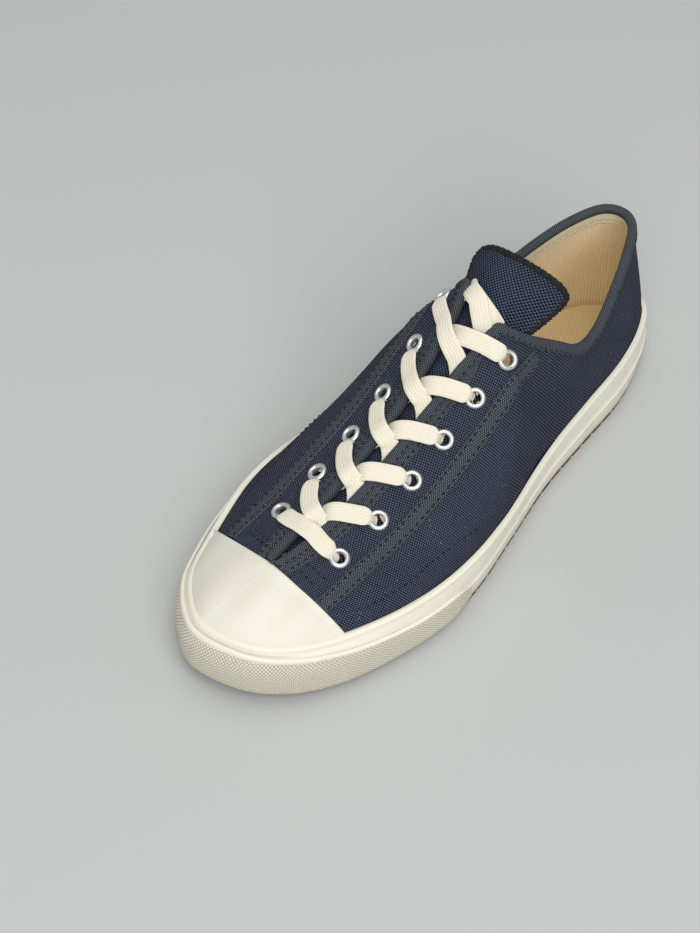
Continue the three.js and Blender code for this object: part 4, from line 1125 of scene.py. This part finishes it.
def smooth_toe_cap():
    """The rubber cap over the toe, its rolled back edge standing on the canvas."""
    side, around = ring(330)
    edge = cap_edge(side, around)
    heights = foxing_at["top"](around) + spring(outline_point(side, around)[:, 1]) - 3
    start = up_to_height(side, around, heights)
    keep = np.nonzero((around > 0.55) & (edge > start + 0.015))[0]
    side, around, edge, start = side[keep], around[keep], edge[keep], start[keep]
    rows = 34
    shares = np.linspace(0, 1, rows) ** 0.9
    ups = start[:, None] + (edge - start)[:, None] * shares[None, :]
    thick = 0.45 + TOE_CAP
    steepness = np.linalg.norm(skin(side, around, edge) - skin(side, around, edge - 0.02), axis=-1) / 0.02
    from_edge = (edge[:, None] - ups) * steepness[:, None]
    lift = thick * np.sqrt(np.clip(1 - (1 - np.clip(from_edge / 0.8, 0, 1)) ** 2, 0, 1))
    lift = lift + 0.3 * np.exp(-(((from_edge - 1.1) / 0.7) ** 2))
    lift = lift - 0.3 * np.exp(-(((from_edge - 5.5) / 3.0) ** 2))
    points = off_skin(side[:, None], around[:, None], ups, lift)
    under = off_skin(side, around, edge, -0.3)[:, None]
    points = np.concatenate([points, under], axis=1)
    run = lengths_along(points[:, 0])
    climb = np.concatenate([ups, edge[:, None]], axis=1) * 60
    facing = np.concatenate([skin_normal(side[:, None], around[:, None], ups)] * 2, axis=1)[:, : rows + 1]
    sheet("toe_cap_rubber", points, cap_cream_painted_shade,
          flat_coords(run[:, None], climb), replaces=["toe_cap"], facing=facing)


smooth_toe_cap()


# The sole


def beside(side, around, height, away):
    """A point off the wall at a height, straight down from the wall's foot below it."""
    side, around, height, away = arrays(side, around, height, away)
    foot = foot_of(side, around)
    held = np.maximum(height, foot[..., 2])
    up = up_to_height(side, around, held)
    point = skin(side, around, up) + skin_normal(side, around, up) * away[..., None]
    below = height < foot[..., 2]
    level = foot + outward(side, around) * away[..., None]
    point = np.where(below[..., None], level, point)
    point[..., 2] = np.where(below, height, point[..., 2])
    return point


def bumper_share(around):
    return smoothstep(around, BUMPER_START, BUMPER_START + BUMPER_FADE)


def foxing_band():
    side, around = ring(260)
    under = spring(outline_point(side, around)[:, 1])
    top = under + foxing_at["top"](around)
    bead = under + foxing_at["bead"](around)
    bottom = under + TREAD_LAYER + FOXING_LIFT
    face = GAP + FOXING
    bare = BEAD_OUT * (1 - bumper_share(around))
    rows = [
        (bottom, face - 0.5), (bottom + 0.5, face), (0.5 * (bottom + bead), face),
        (bead - 0.2, face), (bead + 0.2, face + 0.3 * bare), (bead + 0.55, face + 0.9 * bare),
        (bead + 0.9, face + bare), (bead + 1.25, face + 0.9 * bare), (bead + 1.6, face + 0.3 * bare),
        (bead + 2.0, face), (0.6 * bead + 0.4 * top, face - 0.25), (0.3 * bead + 0.7 * top, face - 0.55),
        (top - 3.0, face - 0.8), (top - 2.5, face - 0.85), (top - 2.1, face - 0.6), (top - 1.6, face - 0.35),
        (top - 1.1, face - 0.4), (top - 0.6, face - 0.75), (top - 0.25, face - 1.3), (top, face - 1.9),
        (top, GAP),
    ]
    profile = np.stack([beside(side, around, height, away) for height, away in rows], 1)
    run = lengths_along(profile[:, 1])
    heights = np.stack([np.broadcast_to(height, side.shape) for height, _ in rows], 1)
    centre = outline_point(side, around) * [0.9, 0.9, 0] + [0, 0, 12]
    sheet("foxing_band", profile, cream,
          flat_coords(run[:, None], heights), replaces=["foxing"], facing=profile - centre[:, None])


foxing_band()


def textured_bumper():
    """The moulded strip round the toe, with a plain ridge along its upper edge."""
    side, around = ring(300)
    keep = around > BUMPER_START + 0.008
    side, around = side[keep], around[keep]
    under = spring(outline_point(side, around)[:, 1])
    fade = bumper_share(around)
    bead = foxing_at["bead"](around)
    top = under + bead + (foxing_at["bumper"](around) + 0.8 - bead) * fade
    bottom = under + TREAD_LAYER + FOXING_LIFT - 2.3 * smoothstep(around, 0.66, 0.85)
    tall = top - bottom
    base = GAP + FOXING
    thick = BUMPER * (0.04 + 0.96 * fade)
    shape = [
        (0.0, 0.5), (0.02, 0.8), (0.07, 0.95), (0.2, 1.0), (0.38, 0.95), (0.55, 0.8), (0.7, 0.62),
        (0.83, 0.44), (0.905, 0.32), (0.92, 0.4), (0.94, 0.47), (0.965, 0.47), (0.985, 0.36),
        (1.0, 0.1), (1.0, -0.1),
    ]
    rows = [beside(side, around, bottom + share * tall, base + swell * thick) for share, swell in shape]
    profile = np.stack(rows, 1)
    run = lengths_along(profile[:, 4])
    heights = np.stack([bottom + share * tall for share, _ in shape], 1)
    coords = flat_coords(run[:, None], heights)
    centre = outline_point(side, around) * [0.9, 0.9, 0] + [0, 0, 12]
    facing = profile - centre[:, None]
    ridge = 8
    sheet("bumper_strip", profile[:, : ridge + 1], hatched,
          coords[:, : ridge + 1], replaces=["toe_bumper"], facing=facing[:, : ridge + 1])
    sheet("bumper_ridge", profile[:, ridge:], cream,
          coords[:, ridge:], facing=facing[:, ridge:])


textured_bumper()

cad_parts["outsole"].data.materials.clear()
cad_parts["outsole"].data.materials.append(brown)


def woven_insole():
    """The tan board inside, dished a little towards its edges."""
    lengths, across = 150, 40
    t = np.linspace(0, 1, lengths)
    t = t - 0.04 * np.sin(2 * np.pi * t)
    inset = FOXING + GAP + UPPER_WALL + 2 * GAP
    outer = foot_of(np.full(lengths, LATERAL), t, inset)
    inner = foot_of(np.full(lengths, MEDIAL), t, inset)
    shares = np.linspace(0, 1, across)
    shares = 0.5 - 0.5 * np.cos(np.pi * shares)
    board = inner[:, None] * (1 - shares)[None, :, None] + outer[:, None] * shares[None, :, None]
    rim = np.minimum(shares, 1 - shares)[None, :] * np.linalg.norm(outer - inner, axis=-1)[:, None]
    ends = np.minimum(t, 1 - t)[:, None] * 280
    from_edge = np.minimum(rim, ends)
    aside = np.abs(2 * shares - 1)[None, :]
    roll = np.sqrt(np.clip(1 - (1 - np.clip(from_edge / 1.5, 0, 1)) ** 2, 0, 1))
    board[..., 2] = PLATFORM + GAP + spring(board[..., 1]) + INSOLE + aside**4 - 3.5 * (1 - roll)
    coords = flat_coords(board[..., 0], board[..., 1])
    facing = np.broadcast_to([0.0, 0.0, 1.0], board.shape)
    sheet("insole_cloth", board, insole_cloth, coords,
          replaces=["insole"], facing=facing)


woven_insole()


# Eyelets


def turned(points, normal, centre):
    """Points round +Z turned to a direction and moved to a place."""
    matrix = np.array(Vector((0, 0, 1)).rotation_difference(Vector(normal)).to_matrix())
    return points @ matrix.T + centre


def eyelet_ring(name, side, around, up):
    count = 44
    turn = 2 * np.pi * np.arange(count + 1) / count
    flange = EYELET_SEATING
    profile = [
        (BARREL_RADIUS, -2.6), (BORE_RADIUS, -2.6), (BORE_RADIUS, -0.4), (BORE_RADIUS + 0.05, flange + 0.3),
        (BORE_RADIUS + 0.3, flange + 0.8), (BORE_RADIUS + 0.75, flange + EYELET_FLANGE),
        (BORE_RADIUS + 1.25, flange + EYELET_FLANGE - 0.03), (EYELET_RADIUS - 0.45, flange + 0.72),
        (EYELET_RADIUS - 0.1, flange + 0.35), (EYELET_RADIUS, flange),
        (EYELET_RADIUS - 0.15, 0.0), (BARREL_RADIUS, -0.1),
    ]
    rings = np.array([[[r * math.cos(a), r * math.sin(a), h] for r, h in profile] for a in turn])
    outwards = rings - np.array([[3.6 * math.cos(a), 3.6 * math.sin(a), -0.2] for a in turn])[:, None]
    normal = skin_normal(side, around, up)
    centre = off_skin(side, around, up, 0.0)
    points = turned(rings, normal, centre)
    sheet(f"{name}_ring", points, silver,
          flat_coords(rings[..., 0], rings[..., 1]), replaces=[name], facing=turned(outwards, normal, 0))


for eyelet, spot in EYELETS.items():
    eyelet_ring(eyelet, *spot)


# The throat, the tongue and the lace


def throat_walk():
    rounds = np.linspace(1, THROAT_TOP, 261)
    return lengths_along(top_edge(np.full(261, LATERAL), rounds)), rounds


THROAT_WALK = throat_walk()


def throat_round(along):
    return np.interp(along, *THROAT_WALK)


def throat_half(around):
    outer, inner = (top_edge(np.full(np.shape(around), side), around) for side in (LATERAL, MEDIAL))
    return np.linalg.norm(outer - inner, axis=-1) / 2


def up_from_edge(side, around, distance):
    """How far up the wall each place is that lies its own distance from the top edge."""
    side, around, distance = arrays(side, around, distance)
    passed, ups = down_the_wall(side, around)
    rows = passed.reshape(-1, len(ups))
    found = [np.interp(far, row, ups) for far, row in zip(distance.ravel(), rows)]
    return np.array(found).reshape(side.shape)


def over_throat(around, aside, out):
    """A point over the throat or beside it, with the way out there: aside is sideways from its
    middle, and out is above the upper, or above the arch from one edge to the other."""
    around, aside, out = arrays(around, aside, out)
    side = np.where(aside < 0, MEDIAL, LATERAL).astype(float)
    half = np.maximum(throat_half(around), 1e-6)
    beside = np.abs(aside) - half
    up = up_from_edge(side, around, np.maximum(beside, 0))
    walls, walls_out = off_skin(side, around, up, out), skin_normal(side, around, up)
    ones = np.ones(around.shape)
    inner, outer = (off_skin(edge * ones, around, ones, out) for edge in (MEDIAL, LATERAL))
    inner_out, outer_out = (skin_normal(edge * ones, around, ones) for edge in (MEDIAL, LATERAL))
    share = ((np.clip(aside / half, -1, 1) + 1) / 2)[..., None]
    middle = unit(inner_out + outer_out)
    turn = np.clip(np.sum(middle * outer_out, axis=-1), 0.2, 1)
    steepness = np.sqrt(1 - turn * turn) / turn
    arch = (steepness / 2) * (half - aside * aside / half)
    within = inner * (1 - share) + outer * share + middle * arch[..., None]
    within_out = unit(inner_out * (1 - share) + outer_out * share)
    past = (beside > 0)[..., None]
    return np.where(past, walls, within), np.where(past, walls_out, within_out)


TONGUE_DEPTH = UPPER_WALL + BINDING + 5 * GAP


def free_end():
    """The start of the tongue's free end, its directions, its arch and its tilt."""
    root = over_throat(THROAT_TOP, 0, -TONGUE_DEPTH)[0]
    before = over_throat(THROAT_TOP + 0.03, 0, -TONGUE_DEPTH)[0]
    forward = unit((root - before) * [0, 1, 1])
    upward = np.array([0, -forward[2], forward[1]])
    half = throat_half(THROAT_TOP)
    inner, outer = (over_throat(THROAT_TOP, aside, -TONGUE_DEPTH)[0] for aside in (-half, half))
    arch = (root - (inner + outer) / 2) @ upward / half**2
    return root, forward, upward, arch, (inner - outer) @ upward / (2 * half)


FREE_END = free_end()


def on_free_end(beyond, aside, out):
    """A point on the tongue's free end, beyond the top of the throat."""
    beyond, aside, out = arrays(beyond, aside, out)
    root, forward, upward, arch, tilt = FREE_END
    lift = curve(TONGUE_END, "beyond", "lift")(beyond)
    share = np.clip(beyond / TONGUE_END[-1]["beyond"], 0, 1)
    aside = aside + TONGUE_END_DRIFT * share
    flatter = arch + (TONGUE_END_ARCH - arch) * share
    lean = tilt + (TONGUE_END_TILT - tilt) * share
    right = np.array([1.0, 0.0, 0.0])
    facing = unit(upward + (2 * flatter * aside + lean)[..., None] * right)
    height = (lift - flatter * aside * aside - lean * aside)[..., None]
    flat = root + aside[..., None] * right + beyond[..., None] * forward
    return flat + height * upward + facing * out[..., None]


def collar_edge(side, beyond):
    """The collar's edge level with the tongue's free end: its place round, and how far aside."""
    rounds = np.linspace(0.3, THROAT_TOP, 200)
    edge = top_edge(np.full(200, side), rounds)
    root, forward = FREE_END[:2]
    level = -(root[1] + np.asarray(beyond) * forward[1])
    around = np.interp(level, -edge[:, 1], rounds)
    return around, side * (np.interp(level, -edge[:, 1], edge[:, 0]) - root[0])


def free_point(beyond, aside, out):
    """A point on the tongue's free end, held inside the collar where it passes under its edge."""
    beyond, aside, out = arrays(beyond, aside, out)
    point = on_free_end(beyond, aside, out)
    fade = (1 - smoothstep(beyond, 6, 15))[..., None]
    for side in (LATERAL, MEDIAL):
        around, edge = collar_edge(side, beyond)
        sides = np.full(around.shape, float(side))
        drift = TONGUE_END_DRIFT * np.clip(beyond / TONGUE_END[-1]["beyond"], 0, 1)
        past = (aside + drift) * side - edge
        ups = up_from_edge(sides, around, np.maximum(past, 0))
        under = off_skin(sides, around, ups, out - TONGUE_DEPTH)
        rim = off_skin(sides, around, np.ones(around.shape), out - TONGUE_DEPTH)
        shift = rim - on_free_end(beyond, side * edge - drift, out)
        near = smoothstep(past, -9, 0)[..., None]
        point = np.where((past > 0)[..., None], point + (under - point) * fade, point + shift * near * fade)
    return point


def border(inset):
    """The free end's border on the lateral side, moved inwards: its way beyond and its half."""
    line = catmull_rom([(row["beyond"], row["half"]) for row in TONGUE_END], 9)
    run = unit(np.gradient(line, axis=0))
    run[-1] = (0, -1)
    return line + inset * np.stack([run[:, 1], -run[:, 0]], -1)


def tongue_cloth():
    shares = np.linspace(-1, 1, 61)
    rounds = np.linspace(TONGUE_ROOT, THROAT_TOP, 110)
    reach = np.minimum(TONGUE_UNDER, TONGUE_WIDENING * (rounds - THROAT_TOP) + TONGUE_UNDER_TOP)
    half = throat_half(rounds) + reach
    held = over_throat(rounds[:, None], shares[None, :] * half[:, None], -TONGUE_DEPTH)[0]
    line = border(TONGUE_EDGE - 0.9)
    line = line[line[:, 0] > 2.0]
    free = free_point(line[:, :1], shares[None, :] * line[:, 1:], 0)
    top = np.concatenate([held, free])
    run = lengths_along(top[:, 30])
    aside = np.concatenate([shares[None, :] * half[:, None], shares[None, :] * line[:, 1:]])
    near_end = np.exp(-((run[:, None] - run[-1] + 24) / 14) ** 2)
    swell = 0.5 * np.sin(run[:, None] / 5.5 + 0.05 * aside) * near_end
    low = np.concatenate([
        over_throat(rounds[:, None], shares[None, :] * half[:, None], -TONGUE_DEPTH - TONGUE_WALL)[0],
        free_point(line[:, :1], shares[None, :] * line[:, 1:], -TONGUE_WALL),
    ])
    up = unit(top - low)
    top = top + up * 0.3 * swell[..., None]
    coords = flat_coords(top[..., 0], top @ FREE_END[1])
    sheet("tongue_face", top, tongue_navy, coords, replaces=["tongue"], facing=up)
    sheet("tongue_back", low, lining_cloth, coords, facing=-up)


tongue_cloth()


def overlocked_edge():
    """Thread wrapped over the tongue's border, loop beside loop."""
    line = border(TONGUE_EDGE / 2)
    way = lengths_along(line)
    fine = np.linspace(np.interp(6, line[:20, 0], way[:20]), way[-1], 520)
    half_path = np.stack([np.interp(fine, way, line[:, k]) for k in (0, 1)], -1)
    path = np.concatenate([half_path, (half_path * [1, -1])[-2::-1]])
    centre = free_point(path[:, 0], path[:, 1], -TONGUE_WALL / 2)
    out = unit(free_point(path[:, 0], path[:, 1], 1.0) - centre)
    run = unit(np.gradient(centre, axis=0))
    across = unit(np.cross(run, out))
    along = lengths_along(centre)
    turns = 2 * np.pi * np.arange(24) / 24
    slanted = along[:, None] + 0.7 * np.sin(turns)[None, :]
    girth = 0.78 + 0.3 * np.abs(np.sin(np.pi * slanted / 1.7)) ** 0.7
    wobble = 1 + 0.07 * np.sin(along * 2.1) + 0.05 * np.sin(along * 5.3 + 1)
    wide = TONGUE_EDGE / 2 * girth * wobble[:, None] * np.cos(turns)
    tall = (TONGUE_WALL / 2 + 0.5) * girth * wobble[:, None] * np.sin(turns)
    sections = centre[:, None] + across[:, None] * wide[..., None] + out[:, None] * tall[..., None]
    swept("tongue_overlock", sections, black_thread, replaces=["tongue_edging"])


overlocked_edge()


LACE_OVER = EYELET_SEATING + EYELET_FLANGE + LACE_PROUD + LACE / 2
LACE_UNDER = -1.2
RIBS = 6

# The last crossing's straps: where each starts and ends along the throat, and its lift
TUCKED_STRAPS = [
    ("lace_6_over", LATERAL, 135.0, 148.5, 3.4),
    ("lace_6_under", MEDIAL, 139.0, 149.5, 2.0),
]


def lace(name, points, facing, width, cup, replaces):
    """A flat ribbed lace along points. cup is how far its edges bend down."""
    run = unit(np.gradient(points, axis=0))
    across = unit(np.cross(run, facing))
    out = np.cross(across, run)
    shares = np.linspace(-1, 1, 37)
    rounding = np.sqrt(np.clip(1 - np.abs(shares) ** 5, 0, 1))
    ribs = 0.11 * np.cos(np.pi * RIBS * shares) * rounding
    along = lengths_along(points)
    upper = LACE / 2 * rounding + ribs
    lower = -LACE / 2 * rounding - ribs
    aside = np.concatenate([shares, shares[-2:0:-1]])
    height = np.concatenate([upper, lower[-2:0:-1]])
    bend = -cup[:, None] * (aside**2)[None, :]
    sections = points[:, None] + across[:, None] * (aside[None, :] * width[:, None] / 2)[..., None]
    sections = sections + out[:, None] * (height[None, :] + bend)[..., None]
    coords = flat_coords(along[:, None], aside[None, :] * LACE_WIDTH / 2)
    return swept(name, sections, lace_white, replaces, coords)


def along_of(eyelet):
    return EYELET_START + eyelet * EYELET_PITCH


def settle(points, passes=3):
    """The line with its small corners rounded off."""
    for _ in range(passes):
        inner = (points[:-2] + 2 * points[1:-1] + points[2:]) / 4
        points = np.concatenate([points[:1], inner, points[-1:]])
    return points


def lace_end(distance):
    """How far out, how wide and how cupped a lace is, a distance short of its eyelet's middle."""
    over_rim = smoothstep(distance, 1.4, 3.4)
    deep = LACE_TIP_DEPTH
    out = deep + (LACE_OVER - 0.35 - deep) * over_rim + 0.35 * smoothstep(distance, 3.4, 8)
    width = LACE_TIP_WIDTH + (LACE_WIDTH - LACE_TIP_WIDTH) * smoothstep(distance, 0.5, 6.5)
    cup = 0.7 * (1 - smoothstep(distance, 1.5, 6.0))
    return out, width, cup


def strap(name, side, below, lift, replaces):
    """A lace from under one edge of the throat, over the other, and down an eyelet."""
    start_along = along_of(below) + (LATERAL_START if side == LATERAL else MEDIAL_START)
    goal = along_of(below + 1)
    start = side * (throat_half(throat_round(start_along)) - 3.4)
    end = -side * (throat_half(throat_round(goal)) + EYELET_INSET)
    hidden = 7.0
    shares = np.linspace(-hidden / abs(end - start), 1, 90)
    within = np.clip(shares, 0, 1)
    sag = LACE_SAG if side == LATERAL else UNDER_SAG
    along = start_along + (goal - start_along) * shares - sag * 4 * within * (1 - within)
    aside = start + (end - start) * shares
    from_end = (1 - shares) * abs(end - start)
    edge = -side * throat_half(throat_round((start_along + goal) / 2))
    rise = (edge - start) / (end - start)
    climb = smoothstep(shares, -0.2 * rise, 0.7 * rise)
    out = LACE_UNDER + (LACE_OVER - LACE_UNDER) * climb
    tucked = smoothstep(-shares * abs(end - start), -1.0, hidden)
    out = out * (1 - tucked) - 3.1 * tucked + lift * np.exp(-((aside / 9) ** 2))
    end_out, width, cup = lace_end(from_end)
    out = np.where(from_end < 8, np.minimum(out, end_out), out)
    stop = from_end > 0.5
    points, facing = over_throat(throat_round(along[stop]), aside[stop], out[stop])
    lace(name, settle(points, 8), facing, width[stop], cup[stop], replaces)


def bar():
    reach = throat_half(throat_round(along_of(0))) + EYELET_INSET
    aside = np.linspace(-reach + 0.5, reach - 0.5, 96)
    along = along_of(0) - BAR_SAG * (1 - (aside / reach) ** 2)
    out, width, cup = lace_end(reach - np.abs(aside))
    points, facing = over_throat(throat_round(along), aside, out)
    lace("lace_bar_ribbon", settle(points, 24), settle(facing, 24), width, cup, ["lace_bar"])


def tucked_strap(name, side, first, last, lift, replaces):
    """One lace of the last crossing, with both its ends inside the throat."""
    shares = np.linspace(-0.1, 1.1, 60)
    start, end = (throat_half(throat_round(along)) - 1.5 for along in (first, last))
    aside = side * start + (-side * end - side * start) * shares
    inner = np.clip(shares, 0, 1)
    past = np.maximum(np.maximum(-shares, shares - 1), 0) * (start + end)
    out = LACE_UNDER - 0.5 + lift * np.sin(np.pi * inner) ** 0.7 - 1.4 * smoothstep(past, 0, 5)
    points, facing = over_throat(throat_round(first + (last - first) * shares), aside, out)
    lace(name, settle(points), facing, np.full(60, LACE_WIDTH), np.full(60, 0.15), replaces)


bar()
for below in range(EYELET_COUNT - 1):
    solid = f"lace_crossing_{below + 1}"
    strap(f"lace_{below + 1}_over", LATERAL, below, 0.9, [solid])
    strap(f"lace_{below + 1}_under", MEDIAL, below, -0.5, [solid])
for name, side, first, last, lift in TUCKED_STRAPS:
    tucked_strap(name, side, first, last, lift, ["lace_crossing_6"])


# The floor, the light and the camera


def floor():
    mesh = bpy.data.meshes.new("floor")
    far = 4.0
    low = cad_box[0][2]
    corners = [(-far, -far, low), (far, -far, low), (far, far, low), (-far, far, low)]
    mesh.from_pydata(corners, [], [(0, 1, 2, 3)])
    mesh.materials.append(shadow_gray)
    plane = bpy.data.objects.new("floor", mesh)
    bpy.context.scene.collection.objects.link(plane)


def area_light(name, place, target, size, watts):
    data = bpy.data.lights.new(name, "AREA")
    data.shape = "DISK"
    data.size = size
    data.energy = watts
    made = bpy.data.objects.new(name, data)
    made.location = place
    made.rotation_euler = (Vector(target) - Vector(place)).to_track_quat("-Z", "Y").to_euler()
    bpy.context.scene.collection.objects.link(made)


def sky(strength):
    world = bpy.data.worlds.new("studio")
    world.use_nodes = True
    world.node_tree.nodes["Background"].inputs["Color"].default_value = (1, 1, 1, 1)
    world.node_tree.nodes["Background"].inputs["Strength"].default_value = strength
    bpy.context.scene.world = world


def camera():
    azimuth, elevation, roll = (math.radians(turn) for turn in (42.521, 49.68, -0.919))
    target = np.array([-33.44, -17.391, 6.025])
    distance = 801.916
    pixels = 1715.736
    back = np.array([
        math.sin(azimuth) * math.cos(elevation),
        -math.cos(azimuth) * math.cos(elevation),
        math.sin(elevation),
    ])
    right = np.array([math.cos(azimuth), math.sin(azimuth), 0])
    up = np.cross(back, right)
    right, up = right * math.cos(roll) + up * math.sin(roll), up * math.cos(roll) - right * math.sin(roll)
    data = bpy.data.cameras.new("camera")
    data.sensor_width = 36
    data.lens = pixels * data.sensor_width / 933
    made = bpy.data.objects.new("camera", data)
    turn = Matrix((right, up, back)).transposed().to_4x4()
    made.matrix_world = Matrix.Translation(Vector((target + distance * back + SHIFT) * MM)) @ turn
    bpy.context.scene.collection.objects.link(made)
    bpy.context.scene.camera = made


floor()
sky(0.36)
area_light("window", (1.3, -1.0, 1.8), (0, 0, 0.05), 2.4, 47)
area_light("overhead", (-0.3, 0.2, 2.2), (0, 0, 0.05), 2.0, 11)
camera()
bpy.context.scene.view_settings.view_transform = "Standard"
